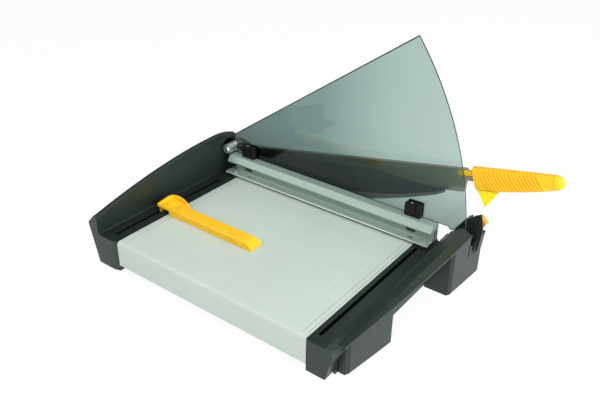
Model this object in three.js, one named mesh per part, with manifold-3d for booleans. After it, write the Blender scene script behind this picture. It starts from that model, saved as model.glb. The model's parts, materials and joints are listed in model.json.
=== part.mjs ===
// Desk guillotine for paper: a sheet-steel bed between two moulded rails, a lever blade on a far pivot,
// a sprung paper clamp that carries a clear hand guard, and a sliding paper guide.
// Lengths are in millimetres. While the pieces are built, x runs right towards the blade, y runs away
// from the user and z = 0 is the top of the bed. The group then moves its origin to the floor.
import * as THREE from 'three';
import { mergeVertices } from 'three/addons/utils/BufferGeometryUtils.js';
import Module from 'manifold-3d';

const wasm = await Module();
wasm.setup();

// Fits
const FIT = 0.3;
const BOLT_PLAY = 0.4;
const OVERRUN = 1;

// Bed
const BED_LENGTH = 380;
const BED_WIDTH = 326;
const BED_SHEET = 2.5;
const BED_SKIRT = 45;
const BED_BEND = 6;
const BED_HEIGHT = 57;
const RIB_DEPTH = 18;
const RIB_SHEET = 2;

// Rubber feet
const RUBBER_RADIUS = 8;
const RUBBER_THICK = 3;
const RUBBER_PROUD = 1;

// Near rail
const LEDGE_NEAR = 31;
const RAIL_DEPTH = 38;
const RAIL_WALL = 4;
const WEB_OUT = 37;
const WEB_DROP = 7;
const WEB_SKIRT = 15;
const BLOCK_OUT = 32;
const BLOCK_LENGTH = 19;
const LIP_START = 18;
const LIP_END_LENGTH = 8;
const LIP_END_DROP = 3.4;
const SEAM = 1;
const LIP_OUT_LEFT = 49.5;
const LIP_OUT_RIGHT = 86;
const LIP_Z_LEFT = -3.4;
const LIP_Z_RIGHT = 36;
const LIP_THICK = 4;
const LIP_BOW_SHARE = 0.45;
const CREST_RISE = 8;
const HUMP_SKIN = 6;
const NEAR_SLOT_START = 16;
const NEAR_SLOT_OUT = 8;
const NEAR_SLOT_WIDTH = 5.6;
const NEAR_SLOT_STOP = 41;
const NEAR_SLOT_DEPTH = 7;
const TROUGH_WALL = 1;

// Right-hand block of the near rail, with the arm's slot and the latch shelf
const SLOT_WIDTH = 24;
const SLOT_FLOOR = 3;
const SLOT_FRONT_TOP = 10;
const SLOT_FRONT_WALL = 4;
const FIN_CLEAR = 2;
const BLOCK_BASE_DROP = 9.5;
const CHEEK_WALL = 2.5;
const CHEEK_TOP = 58;
const SHELF_LENGTH = 13.5;
const SHELF_Z = 23;
const SHELF_WALL_OUT = 61;
const SHELF_WALL = 4;
const SHELF_WALL_RISE = 21;

// Feet under the near rail
const FOOT_LEFT = 24;
const FOOT_LEFT_LENGTH = 97;
const FOOT_RIGHT = 56;
const FOOT_RIGHT_LENGTH = 96.5;
const FOOT_SETBACK = 0.6;
const FOOT_FACET = 6;
const FOOT_FACET_IN = 2.6;
const BEAD_RADIUS = 0.9;
const BEAD_INSET = 1.5;
const BEAD_PITCH = 5.2;

// Far rail
const LEDGE_FAR = 42;
const FAR_LEFT = 3;
const FAR_CHAMFER = 11;
const WALL_TOP_LEFT = 33;
const WALL_TOP_RIGHT = 76;
const WALL_CROWN_BEFORE = 36;
const WALL_CURVE_SHARE = 1.8;
const WALL_END_DROP = 10;
const WALL_BEYOND = 11;
const WALL_FOOT = 6;
const WALL_LEAN = 22;
const WALL_TOP_THICK = 7;
const WALL_EDGE = 3;
const WALL_FILLET = 1.2;
const LEAN_HEIGHT_SHARE = 0.42;
const LEG_LEFT = 62;
const LEG_RIGHT = 86;
const RAIL_SCREW_CLEAR = 10;
const ARCH_DROP = 40;
const ARCH_ROUND = 8;
const FAR_SLOT_START = 15;
const FAR_SLOT_STOP = 63;
const FAR_SLOT_IN = 20;
const FAR_SLOT_WIDTH = 5;

// Counter-blade along the right edge of the bed
const COUNTER_THICK = 3.7;
const COUNTER_DEPTH = 14;
const COUNTER_NEAR = 25;
const COUNTER_FAR = 14;
const COUNTER_SCREWS = 4;
const SMALL_SHANK = 1.8;
const SMALL_HEAD = 3.4;
const SMALL_HEAD_THICK = 2.2;

// Pivot
const PIVOT_BEYOND = 31;
const PIVOT_Z = 47;
const BOLT_RADIUS = 5;
const HOUSING_RADIUS = 9.5;
const HOUSING_LENGTH = 33;
const BOLT_HEAD_RADIUS = 7;
const BOLT_HEAD_THICK = 3;
const WASHER_RADIUS = 9;
const WASHER_THICK = 1;
const NUT_RADIUS = 8;
const NUT_THICK = 5;
const TOWER_LENGTH = 22;
const TOWER_FRONT_GAP = 6;
const NICHE_RADIUS = 15;
const NICHE_DEPTH = 2.5;

// Blade arm, measured from the pivot along the arm and up from its axis
const ARM_ANGLE = 11.2;
const BLADE_GAP = 0.3;
const BLADE_THICK = 3;
const ARM_THICK = 7;
const ARM_HEAD = 10.5;
const ARM_TOP = -3;
const ARM_HEEL = 24;
const ARM_WAIST = 31;
const ARM_SWELL_SHARE = 0.9;
const ARM_NECK = 41;
const ARM_NECK_OUT = 57;
const ARM_STEP_LENGTH = 5;
const TANG_TOP = 7;
const TANG_BOTTOM = 22;
const BLADE_HEEL = 12;
const BLADE_OUT = 13;
const BLADE_NOSE = 14;
const BLADE_LOW_SHARE = 0.43;
const BLADE_LOW = 81.5;
const BLADE_CURVE_SHARE = 2.336;
const BLADE_TOP_HEEL = 14;
const BLADE_TOP_SLOPE = 8;
const BLADE_TOP_TIP = 38;
const BLADE_FALL_SHARE = 0.68;
const BLADE_BEVEL = 5;
const BLADE_EDGE = 0.6;
const BLADE_SCREWS = 4;
const BLADE_SCREW_FIRST = 60;
const BLADE_SCREW_LAST_IN = 52;
const BLADE_SCREW_BELOW = 5;
const STOP_PAD_WIDTH = 12;
const STOP_PAD_INSET = 4;

// Handle
const GRIP_OUT = 73;
const GRIP_LENGTH = 123;
const GRIP_HEIGHT_FRONT = 37;
const GRIP_HEIGHT_END = 23;
const GRIP_WIDTH = 20;
const GRIP_WIDTH_END = 17;
const GRIP_TOP = 1;
const GRIP_SAG = 0.5;
const GRIP_FRONT_SLANT = 5;
const GRIP_SIDES = 14;
const GRIP_STATIONS = 5;
const GRIP_SQUARE_SHARE = 0.6;
const GRIP_BURIED = 60;
const GRIP_PLAIN = 21;
const RIB_PITCH = 5.8;
const GRIP_RIBS = 16;
const GRIP_RIB_PROUD = 1.5;
const GRIP_RIB_THICK = 3;
const GRIP_RIB_SLANT = -30;
const CAP_LENGTH = 14;
const CAP_STUB = 4;
const THUMB_LENGTH = 24;
const THUMB_HEIGHT = 8;
const THUMB_TOP = -4.5;
const TONGUE_THICK = 2.4;
const TONGUE_IN = 12;
const NOTCH_LENGTH = 9;
const NOTCH_FLOOR = -8;
const FIN_START = 6;
const FIN_STUB = 4;
const FIN_LENGTH = 34;
const FIN_DROP = 27;
const FIN_TIP_SHARE = 0.3;
const finBulgeShares = [0.79, 0.39];
const FIN_THICK = 7;
const FIN_TIP_ROUND = 1.2;

// Clamp
const CLAMP_WIDTH = 34;
const CLAMP_FROM_EDGE = 5;
const CLAMP_NEAR = 27;
const CLAMP_FAR = 24;
const CLAMP_LIFT = 5.5;
const FLANGE_THICK = 2.5;
const CLAMP_TOP = 37.5;
const CLAMP_BODY = 18;
const BEVEL_X = 8;
const BEVEL_Z = 9;
const LIP_WIDTH = 6;
const BAR_UNDER = 26;
const GUIDE_SCREW_CLEAR = 1.3;
const GUIDE_SCREW_IN = 12;
const GUIDE_SCREW_FAR_IN = 16;
const GUIDE_SCREW_SHANK = 2.6;
const GUIDE_SCREW_HEAD = 5.2;
const GUIDE_SCREW_HEAD_THICK = 3;
const GUIDE_SCREW_GRIP = 20;
const SPRING_WIRE = 0.55;
const SPRING_RADIUS = 4.2;
const SPRING_TURNS = 5;
const SPRING_POCKET = 8;
const SPRING_POCKET_RADIUS = 5.6;
const CLAMP_HOLE_RADIUS = 3.8;
const CLAMP_HOLE_NEAR = 36;
const CLAMP_HOLE_FAR = 51;
const CLAMP_SLOT_NEAR = 40;
const CLAMP_SLOT_FAR = 42;
const CLAMP_SLOT_LENGTH = 18;
const CLAMP_SLOT_Z = 17;
const CLAMP_END_CUT = 13;

// Hand guard and its brackets
const GUARD_INSET = 1;
const GUARD_THICK = 3;
const GUARD_BEYOND = 25;
const GUARD_APEX_Z = 75;
const GUARD_TOP_Y = 39;
const GUARD_ARC_BEYOND = 95.5;
const GUARD_ARC_Z = -7.7;
const GUARD_END_OUT = 73.5;
const GUARD_END_Z = 45;
const GUARD_RISE_FROM = -49;
const GUARD_NOTCH = 4;
const GUARD_NOTCH_TOP = 64;
const BRACKET_LENGTH = 29;
const BRACKET_FRONT = 10.7;
const BRACKET_BACK = 4.5;
const BRACKET_HEIGHT = 23.5;
const BRACKET_ROUND = 4;
const BRACKET_GROOVE = 1.6;
const BRACKET_GROOVE_SHARE = 0.7;
const BRACKET_NEAR_Y = 2;
const BRACKET_FAR_IN = 28;
const BRACKET_SCREW = 2;

// Paper guide
const GUIDE_X = 125;
const GUIDE_FOOT = 28;
const GUIDE_CREST = 20;
const GUIDE_HEIGHT = 13;
const GUIDE_LENGTH = 212;
const GUIDE_NOSE = 26;
const GUIDE_OVER = 24;
const GUIDE_SHORT = 4;
const GUIDE_EDGE = 1.5;
const GUIDE_SHANK = 1;
const GUIDE_HEAD_THICK = 1.6;
const GUIDE_TIP_WALL = 5;
const SCOOP_LENGTH = 54;
const SCOOP_HEIGHT = 20.5;
const SCOOP_WALL = 3;
const SCOOP_BULGE = 6;
const SCOOP_UNDER = 8.5;
const DISH_RADIUS = 13;
const DISH_DEPTH = 2.4;
const DISH_BACK = 29;
const TONGUE_LENGTH = 22;
const TONGUE_PLATE = 12;
const TONGUE_PLATE_THICK = 3;

// Arm latch
const LATCH_LENGTH = 10;
const LATCH_CHAMFER = 3;
const LATCH_TRAVEL = 6.5;
const LATCH_TONGUE = 8;
const LATCH_TONGUE_THICK = 3;
const LATCH_TONGUE_Z = 39.6;
const LATCH_BOLT_IN = 6;
const LATCH_IN_Z = 41;
const LATCH_TIP_OUT = 90;
const LATCH_TIP_Z = 38;
const LATCH_TOP_OUT = 79;
const LATCH_TOP_Z = 48.5;
const LATCH_IN = 66;

// Places that follow from the sizes above
const FLOOR = -BED_HEIGHT;
const BASE_Z = FLOOR + RUBBER_PROUD;
const CUT_X = BED_WIDTH + FIT + COUNTER_THICK;
const BLADE_X = CUT_X + BLADE_GAP;
const ARM_X = BLADE_X + BLADE_THICK + FIT;
const ARM_RIGHT = ARM_X + ARM_THICK;
const PIVOT_Y = BED_LENGTH + PIVOT_BEYOND;
const FAR_WALL_Y = BED_LENGTH + LEDGE_FAR;
const REACH = BED_LENGTH + PIVOT_BEYOND;
const ARM_NECK_END = REACH + ARM_NECK_OUT;
const ARM_STEP = ARM_NECK_END + ARM_STEP_LENGTH;
const BLADE_TIP = REACH + BLADE_OUT;
const BLADE_LOW_AT = REACH * BLADE_LOW_SHARE;
const BLADE_CURVE = REACH * BLADE_CURVE_SHARE;
const BLADE_SCREW_LAST = BLADE_TIP - BLADE_SCREW_LAST_IN;
const GRIP_START = REACH + GRIP_OUT;
const GRIP_END = GRIP_START + GRIP_LENGTH;
const WALL_CROWN = BED_WIDTH - WALL_CROWN_BEFORE;
const WALL_RIGHT = BED_WIDTH + WALL_BEYOND;
const TOWER_START = BED_WIDTH - TOWER_LENGTH;
const SLOT_RIGHT = BED_WIDTH + SLOT_WIDTH;
const SHELF_LEFT = SLOT_RIGHT + CHEEK_WALL;
const RAIL_RIGHT = SHELF_LEFT + SHELF_LENGTH;
const CLAMP_NEAR_Y = -CLAMP_NEAR;
const CLAMP_FAR_Y = BED_LENGTH + CLAMP_FAR;
const CLAMP_RIGHT = BED_WIDTH - CLAMP_FROM_EDGE;
const CLAMP_LEFT = CLAMP_RIGHT - CLAMP_WIDTH;
const CLAMP_WEB = CLAMP_RIGHT - CLAMP_BODY;
const BAR_LEFT = CLAMP_LEFT + LIP_WIDTH;
const GUIDE_SCREW_X = CLAMP_WEB - GUIDE_SCREW_HEAD - GUIDE_SCREW_CLEAR;
const GUARD_X = CLAMP_RIGHT - GUARD_INSET - GUARD_THICK / 2;
const GUARD_FAR = BED_LENGTH + GUARD_BEYOND;
const GUARD_ARC_Y = BED_LENGTH + GUARD_ARC_BEYOND;
const BRACKET_FAR_Y = BED_LENGTH - BRACKET_FAR_IN;
const GUIDE_TIP_Y = BED_LENGTH + GUIDE_OVER - GUIDE_LENGTH;
const CYLINDER_SIDES = 28;

function finish(color, roughness, metalness) {
  return new THREE.MeshStandardMaterial({ color, roughness, metalness });
}

const blackPlastic = finish(0x23282a, 0.42, 0);
const bedPaint = finish(0xc6d0c8, 0.45, 0.1);
const zincSteel = finish(0xa9afae, 0.35, 0.9);
const bladeSteel = finish(0x7f8a90, 0.25, 1);
const clampMetal = finish(0xa7b8ad, 0.38, 0.6);
const armPaint = finish(0x5a5953, 0.4, 0.2);
const yellowPlastic = finish(0xffc21f, 0.4, 0);
const finPlastic = finish(0xfbe63c, 0.4, 0);
const orangePlastic = finish(0xf3a23a, 0.4, 0);
const rubber = finish(0x151616, 0.8, 0);
const guardPlastic = new THREE.MeshStandardMaterial({
  color: 0x7fa39e, roughness: 0.08, metalness: 0, transparent: true, opacity: 0.5,
});

// Closed mesh to solid, and back again
function solid(geometry) {
  geometry.deleteAttribute('normal');
  geometry.deleteAttribute('uv');
  const merged = mergeVertices(geometry);
  const vertProperties = new Float32Array(merged.attributes.position.array);
  const triVerts = new Uint32Array(merged.index.array);
  return new wasm.Manifold(new wasm.Mesh({ numProp: 3, vertProperties, triVerts }));
}

function mesh(name, shape, material) {
  const data = shape.getMesh();
  const geometry = new THREE.BufferGeometry();
  geometry.setAttribute('position', new THREE.BufferAttribute(data.vertProperties, 3));
  geometry.setIndex(new THREE.BufferAttribute(data.triVerts, 1));
  geometry.computeVertexNormals();
  const piece = new THREE.Mesh(geometry, material);
  piece.name = name;
  return piece;
}

function box(x0, x1, y0, y1, z0, z1) {
  const geometry = new THREE.BoxGeometry(x1 - x0, y1 - y0, z1 - z0);
  geometry.translate((x0 + x1) / 2, (y0 + y1) / 2, (z0 + z1) / 2);
  return solid(geometry);
}

function rodX(radius, x0, x1, y, z, sides = CYLINDER_SIDES) {
  const geometry = new THREE.CylinderGeometry(radius, radius, x1 - x0, sides);
  geometry.rotateZ(-Math.PI / 2);
  geometry.translate((x0 + x1) / 2, y, z);
  return solid(geometry);
}

function rodY(radius, y0, y1, x, z, sides = CYLINDER_SIDES) {
  const geometry = new THREE.CylinderGeometry(radius, radius, y1 - y0, sides);
  geometry.translate(x, (y0 + y1) / 2, z);
  return solid(geometry);
}

function rodZ(radius, z0, z1, x, y, sides = CYLINDER_SIDES) {
  const geometry = new THREE.CylinderGeometry(radius, radius, z1 - z0, sides);
  geometry.rotateX(Math.PI / 2);
  geometry.translate(x, y, (z0 + z1) / 2);
  return solid(geometry);
}

// An outline in (y, z) carried along x, in (x, z) along y, and in (x, y) along z
const YZ_TO_WORLD = new THREE.Matrix4().makeBasis(
  new THREE.Vector3(0, 1, 0), new THREE.Vector3(0, 0, 1), new THREE.Vector3(1, 0, 0),
);

function extrude(shape, depth, curveSegments) {
  return new THREE.ExtrudeGeometry(shape, { depth, bevelEnabled: false, curveSegments });
}

function alongX(shape, x0, x1, curveSegments = 8) {
  const geometry = extrude(shape, x1 - x0, curveSegments);
  geometry.applyMatrix4(YZ_TO_WORLD);
  geometry.translate(x0, 0, 0);
  return solid(geometry);
}

function alongY(shape, y0, y1, curveSegments = 8) {
  const geometry = extrude(shape, y1 - y0, curveSegments);
  geometry.rotateX(Math.PI / 2);
  geometry.translate(0, y1, 0);
  return solid(geometry);
}

function alongZ(shape, z0, z1, curveSegments = 8) {
  const geometry = extrude(shape, z1 - z0, curveSegments);
  geometry.translate(0, 0, z0);
  return solid(geometry);
}

function polygon(points) {
  return new THREE.Shape(points.map(([a, b]) => new THREE.Vector2(a, b)));
}

function roundedRect(a0, a1, b0, b1, radius) {
  const shape = new THREE.Shape();
  shape.moveTo(a0 + radius, b0);
  shape.lineTo(a1 - radius, b0);
  shape.absarc(a1 - radius, b0 + radius, radius, -Math.PI / 2, 0);
  shape.absarc(a1 - radius, b1 - radius, radius, 0, Math.PI / 2);
  shape.absarc(a0 + radius, b1 - radius, radius, Math.PI / 2, Math.PI);
  shape.absarc(a0 + radius, b0 + radius, radius, Math.PI, 1.5 * Math.PI);
  return shape;
}

// Skin through like outlines at rising stations, each outline running counter-clockwise in (a, b)
function loft(stations) {
  const count = stations[0].outline.length;
  const positions = [];
  for (const { at, outline } of stations) {
    for (const [a, b] of outline) {
      positions.push(a, b, at);
    }
  }
  const index = [];
  for (let k = 0; k + 1 < stations.length; k += 1) {
    for (let i = 0; i < count; i += 1) {
      const j = (i + 1) % count;
      const near = k * count;
      const far = near + count;
      index.push(near + i, near + j, far + j, near + i, far + j, far + i);
    }
  }
  const cap = (station, offset, flip) => {
    const contour = station.outline.map(([a, b]) => new THREE.Vector2(a, b));
    for (const [p, q, r] of THREE.ShapeUtils.triangulateShape(contour, [])) {
      if (flip) {
        index.push(offset + p, offset + r, offset + q);
      } else {
        index.push(offset + p, offset + q, offset + r);
      }
    }
  };
  cap(stations[0], 0, true);
  cap(stations[stations.length - 1], (stations.length - 1) * count, false);
  const geometry = new THREE.BufferGeometry();
  geometry.setAttribute('position', new THREE.Float32BufferAttribute(positions, 3));
  geometry.setIndex(index);
  return geometry;
}

function loftX(stations) {
  const geometry = loft(stations);
  geometry.applyMatrix4(YZ_TO_WORLD);
  return solid(geometry);
}

// Skin through rings of points in space, closed with a flat fan at each end
function skin(rings) {
  const count = rings[0].length;
  const positions = rings.flat(2);
  const index = [];
  for (let k = 0; k + 1 < rings.length; k += 1) {
    for (let i = 0; i < count; i += 1) {
      const j = (i + 1) % count;
      const near = k * count;
      const far = near + count;
      index.push(near + i, near + j, far + j, near + i, far + j, far + i);
    }
  }
  const last = (rings.length - 1) * count;
  for (let i = 1; i + 1 < count; i += 1) {
    index.push(0, i + 1, i, last, last + i, last + i + 1);
  }
  const corner = (n) => new THREE.Vector3(...positions.slice(3 * index[n], 3 * index[n] + 3));
  let volume = 0;
  for (let n = 0; n < index.length; n += 3) {
    volume += corner(n).dot(corner(n + 1).cross(corner(n + 2)));
  }
  const geometry = new THREE.BufferGeometry();
  geometry.setAttribute('position', new THREE.Float32BufferAttribute(positions, 3));
  geometry.setIndex(volume < 0 ? index.reverse() : index);
  return solid(geometry);
}

function steps(from, to, count) {
  return Array.from({ length: count + 1 }, (_, i) => from + ((to - from) * i) / count);
}

// Bed: one sheet bent down along both sides, with ribs under it
function bedPlate() {
  const outer = new THREE.Shape();
  outer.moveTo(0, -BED_SKIRT);
  outer.lineTo(BED_SHEET, -BED_SKIRT);
  outer.lineTo(BED_SHEET, -BED_BEND);
  outer.absarc(BED_BEND, -BED_BEND, BED_BEND - BED_SHEET, Math.PI, Math.PI / 2, true);
  outer.lineTo(BED_WIDTH - BED_SHEET, -BED_SHEET);
  outer.lineTo(BED_WIDTH - BED_SHEET, -BED_SKIRT);
  outer.lineTo(BED_WIDTH, -BED_SKIRT);
  outer.lineTo(BED_WIDTH, 0);
  outer.lineTo(BED_BEND, 0);
  outer.absarc(BED_BEND, -BED_BEND, BED_BEND, Math.PI / 2, Math.PI, false);
  let plate = alongY(outer, 0, BED_LENGTH);
  for (const y of counterScrewPlaces()) {
    plate = plate.subtract(rodX(
      SMALL_SHANK + FIT, BED_WIDTH - BED_SHEET - OVERRUN, BED_WIDTH + OVERRUN, y, -COUNTER_DEPTH / 2,
    ));
  }
  return plate;
}

function bedRib(y) {
  const left = BED_SHEET + FIT + BED_BEND;
  const right = BED_WIDTH - BED_SHEET - FIT - SMALL_HEAD_THICK - FIT;
  const top = -BED_SHEET - FIT;
  return box(left, right, y - RIB_SHEET / 2, y + RIB_SHEET / 2, top - RIB_DEPTH, top);
}

// Near rail: outline of its lip in plan, and its rise towards the right
function lipShare(x) {
  return THREE.MathUtils.clamp((x - LIP_START) / (RAIL_RIGHT - LIP_START), 0, 1);
}

function lipOut(x) {
  const u = lipShare(x);
  const bowed = u * (1 + LIP_BOW_SHARE * (1 - u));
  return LIP_OUT_LEFT + (LIP_OUT_RIGHT - LIP_OUT_LEFT) * bowed;
}

function lipZ(x) {
  return LIP_Z_LEFT + (LIP_Z_RIGHT - LIP_Z_LEFT) * lipShare(x);
}

function crest(x) {
  return CREST_RISE * lipShare(x);
}

// The hump's skin: share of the way from the ledge to the lip, share of the lip's rise, share of the crest
const humpShares = [
  [0.12, 0.34, 0], [0.32, 0.83, 0], [0.39, 0.88, 0], [0.55, 1, 0.2], [0.74, 1, 1], [0.9, 1, 0.2], [1, 1, 0],
];
const underShares = [[0.82, 1, 0.6], [0.44, 0.85, 0]];

function humpPoint(x, [outShare, riseShare, crestShare], drop) {
  const y = -LEDGE_NEAR - (lipOut(x) - LEDGE_NEAR) * outShare;
  return [y, lipZ(x) * riseShare + crest(x) * crestShare - drop];
}

function underside(x, drop) {
  const points = underShares.map((share) => humpPoint(x, share, HUMP_SKIN + drop));
  return [[-lipOut(x), lipZ(x) - LIP_THICK - drop], ...points];
}

// The lip's left end is rounded over: shares of its length
const lipEndShares = [0, 0.3, 0.65];

function lipDrop(x) {
  const along = Math.min((x - LIP_START) / LIP_END_LENGTH, 1);
  return LIP_END_DROP * (1 - along) ** 2;
}

function nearSection(x) {
  return [
    [-WEB_OUT + RAIL_WALL, -RAIL_DEPTH], [-FIT, -RAIL_DEPTH], [-FIT, 0], [-LEDGE_NEAR, 0],
    ...humpShares.map((share) => humpPoint(x, share, lipDrop(x) * share[0])),
    ...underside(x, 0),
    [-WEB_OUT, -WEB_DROP - HUMP_SKIN], [-WEB_OUT, -RAIL_DEPTH],
  ];
}

function railPlaces() {
  return [
    ...lipEndShares.map((share) => LIP_START + LIP_END_LENGTH * share),
    ...steps(LIP_START + LIP_END_LENGTH, BED_WIDTH, 11),
  ];
}

function nearRail() {
  let rail = loftX(railPlaces().map((x) => ({ at: x, outline: nearSection(x) })));
  const inside = [BLOCK_LENGTH + RAIL_WALL, BED_WIDTH - RAIL_WALL];
  rail = rail.subtract(box(
    inside[0], inside[1], -WEB_OUT + RAIL_WALL, -FIT - RAIL_WALL, -RAIL_DEPTH - OVERRUN, -RAIL_WALL,
  ));
  rail = rail.add(box(
    BLOCK_LENGTH - OVERRUN, FOOT_LEFT + RAIL_WALL, -WEB_OUT, -WEB_OUT + RAIL_WALL,
    BASE_Z, -RAIL_DEPTH + OVERRUN,
  ));
  rail = rail.add(box(
    FOOT_LEFT, BED_WIDTH, -WEB_OUT, -WEB_OUT + RAIL_WALL, -RAIL_DEPTH - WEB_SKIRT, -RAIL_DEPTH + OVERRUN,
  ));
  rail = rail.add(endBlock()).add(slotTrough());
  rail = rail.add(armSlotFloor()).add(cheek()).add(latchShelf()).subtract(latchWindow());
  rail = rail.subtract(alongZ(roundedRect(
    NEAR_SLOT_START, BED_WIDTH - NEAR_SLOT_STOP, -NEAR_SLOT_OUT - NEAR_SLOT_WIDTH, -NEAR_SLOT_OUT,
    NEAR_SLOT_WIDTH / 2,
  ), -NEAR_SLOT_DEPTH, OVERRUN));
  rail = rail.add(springBoss(guideScrewNearY())).subtract(springPocket(guideScrewNearY()));
  for (const x of railScrewPlaces()) {
    rail = rail.subtract(rodY(SMALL_SHANK + FIT, -RAIL_WALL - OVERRUN, OVERRUN, x, railScrewZ()));
  }
  return rail;
}

// Left end of the rail: a solid block, its front hollowed under the lip. Each row gives, as shares of the
// lip's reach and the bed's height, a point of the end face and the one across from it beside the lip.
const endShares = [
  [0.677, 0.021, 0.687, 0.018], [0.758, 0.079, 0.808, 0.07], [0.824, 0.158, 0.909, 0.123],
  [0.853, 0.237, 0.985, 0.152], [0.838, 0.356, 0.939, 0.237], [0.808, 0.456, 0.879, 0.333],
  [0.766, 0.561, 0.808, 0.474], [0.733, 0.684, 0.747, 0.632], [0.707, 0.789, 0.697, 0.807],
];

function endBlock() {
  const outline = (side) => [
    [-FIT, BASE_Z], [-FIT, 0], [-LEDGE_NEAR, 0],
    ...endShares.map((row) => [-LIP_OUT_LEFT * row[side], BASE_Z * row[side + 1]]),
    [-BLOCK_OUT, BASE_Z],
  ];
  const block = loftX([{ at: 0, outline: outline(0) }, { at: BLOCK_LENGTH, outline: outline(2) }]);
  return block.subtract(box(-OVERRUN, SEAM, -LEDGE_NEAR, OVERRUN, -2 * SEAM, -SEAM));
}

// The near slot has a floor of its own under the ledge
function slotTrough() {
  return box(
    NEAR_SLOT_START - TROUGH_WALL, BED_WIDTH - NEAR_SLOT_STOP + TROUGH_WALL,
    -NEAR_SLOT_OUT - NEAR_SLOT_WIDTH - TROUGH_WALL, -NEAR_SLOT_OUT + TROUGH_WALL,
    -NEAR_SLOT_DEPTH - TROUGH_WALL, -OVERRUN,
  );
}

function armSlotFloor() {
  const out = -lipOut(BED_WIDTH);
  const outline = polygon([
    [out, -BLOCK_BASE_DROP], [-LEDGE_NEAR, -BLOCK_BASE_DROP], [-LEDGE_NEAR, SLOT_FLOOR],
    [out + SLOT_FRONT_WALL, SLOT_FLOOR], [out + SLOT_FRONT_WALL, SLOT_FRONT_TOP], [out, SLOT_FRONT_TOP],
  ]);
  return alongX(outline, BED_WIDTH - OVERRUN, SLOT_RIGHT + OVERRUN).subtract(finGroove());
}

// Groove in the front of the slot for the finger fin of the lowered arm
function finGroove() {
  const high = PIVOT_Z + GRIP_TOP - GRIP_HEIGHT_FRONT;
  const back = PIVOT_Y - GRIP_START - FIN_START + FIN_CLEAR;
  const low = high - FIN_DROP;
  const half = FIN_THICK / 2 + FIN_CLEAR;
  const outline = polygon([
    [back, SLOT_FLOOR + OVERRUN], [back, 2 * high], [-2 * LIP_OUT_RIGHT, 2 * high], [-2 * LIP_OUT_RIGHT, low],
    [back - FIN_LENGTH * FIN_TIP_SHARE, low],
  ]);
  return alongX(outline, armMiddle() - half, armMiddle() + half);
}

// The cheek beside the arm's slot: shares of the way from the ledge to the lip, and of its height
const cheekShares = [
  [0.164, 0.086], [0.227, 0.303], [0.49, 0.68], [0.8, 0.905],
  [0.93, 0.985], [0.975, 0.95], [1.03, 0.72], [1.07, 0.5],
];

function cheekOutline(top) {
  const width = LIP_OUT_RIGHT - LEDGE_NEAR;
  const shape = new THREE.Shape();
  shape.moveTo(-LIP_OUT_RIGHT, -BLOCK_BASE_DROP);
  shape.lineTo(-LEDGE_NEAR, -BLOCK_BASE_DROP);
  shape.lineTo(-LEDGE_NEAR, 0);
  for (const [out, rise] of cheekShares) {
    shape.lineTo(-LEDGE_NEAR - width * out, top * rise);
  }
  return shape;
}

function cheek() {
  return alongX(cheekOutline(CHEEK_TOP), SLOT_RIGHT, SHELF_LEFT);
}

function latchWindow() {
  return box(
    SLOT_RIGHT - OVERRUN, SHELF_LEFT + OVERRUN,
    -LATCH_TOP_OUT - FIT, -LATCH_TOP_OUT + LATCH_TONGUE + FIT,
    LATCH_TONGUE_Z - FIT, LATCH_TONGUE_Z + LATCH_TONGUE_THICK + FIT,
  );
}

function latchShelf() {
  const block = alongX(cheekOutline(CHEEK_TOP), SHELF_LEFT - OVERRUN / 2, RAIL_RIGHT);
  const above = box(
    SHELF_LEFT, RAIL_RIGHT + OVERRUN, -2 * LIP_OUT_RIGHT, -SHELF_WALL_OUT - SHELF_WALL,
    SHELF_Z, CHEEK_TOP + OVERRUN,
  );
  const inner = box(
    SHELF_LEFT, RAIL_RIGHT + OVERRUN, -SHELF_WALL_OUT - SHELF_WALL - OVERRUN, 0,
    SHELF_Z + SHELF_WALL_RISE, CHEEK_TOP + OVERRUN,
  );
  return block.subtract(above).subtract(inner);
}

// A foot under the flared lip, with a facet at its left corner and a bead along each side of it
function nearFoot([start, length]) {
  const end = start + length;
  const back = -WEB_OUT - FIT;
  const face = (x) => {
    const facet = Math.max(start + FOOT_FACET - x, 0) / FOOT_FACET;
    return -lipOut(x) + FOOT_SETBACK + FOOT_FACET_IN * facet;
  };
  const section = (x) => [
    [face(x), BASE_Z], [back, BASE_Z], [back, LIP_Z_RIGHT], [face(x), LIP_Z_RIGHT],
  ];
  const places = [start, ...steps(start + FOOT_FACET, end, 5)];
  let foot = loftX(places.map((x) => ({ at: x, outline: section(x) })));
  for (const k of [0, 1]) {
    const x = start + BEAD_INSET + k * BEAD_PITCH;
    foot = foot.add(rodZ(BEAD_RADIUS, BASE_Z, LIP_Z_RIGHT, x, face(x), 8));
  }
  const above = (x) => [
    [-lipOut(x) - 2 * BEAD_RADIUS, lipZ(x) - LIP_THICK - FIT], ...underside(x, FIT),
    [-WEB_OUT, -WEB_DROP - HUMP_SKIN - FIT], [0, -WEB_DROP - HUMP_SKIN - FIT],
    [0, 2 * CHEEK_TOP], [-lipOut(x) - 2 * BEAD_RADIUS, 2 * CHEEK_TOP],
  ];
  const all = railPlaces();
  const span = all.filter((x, i) => (all[i + 1] ?? x) > start && (all[i - 1] ?? x) < end);
  foot = foot.subtract(loftX(span.map((x) => ({ at: x, outline: above(x) }))));
  foot = foot.subtract(box(
    BED_WIDTH - OVERRUN - FIT, RAIL_RIGHT + OVERRUN, -2 * LIP_OUT_RIGHT, 0,
    -BLOCK_BASE_DROP - FIT, 2 * CHEEK_TOP,
  ));
  const [rx, ry] = rubberPlaceUnder([start, length]);
  return foot.subtract(rodZ(RUBBER_RADIUS + FIT, BASE_Z - OVERRUN, rubberTop() + FIT, rx, ry));
}

function rubberTop() {
  return FLOOR + RUBBER_THICK;
}

function rubberPlaceUnder([start, length]) {
  const x = start + length / 2;
  const back = WEB_OUT + FIT;
  const depth = lipOut(x) - back;
  return [x, -back - depth / 2];
}

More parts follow.
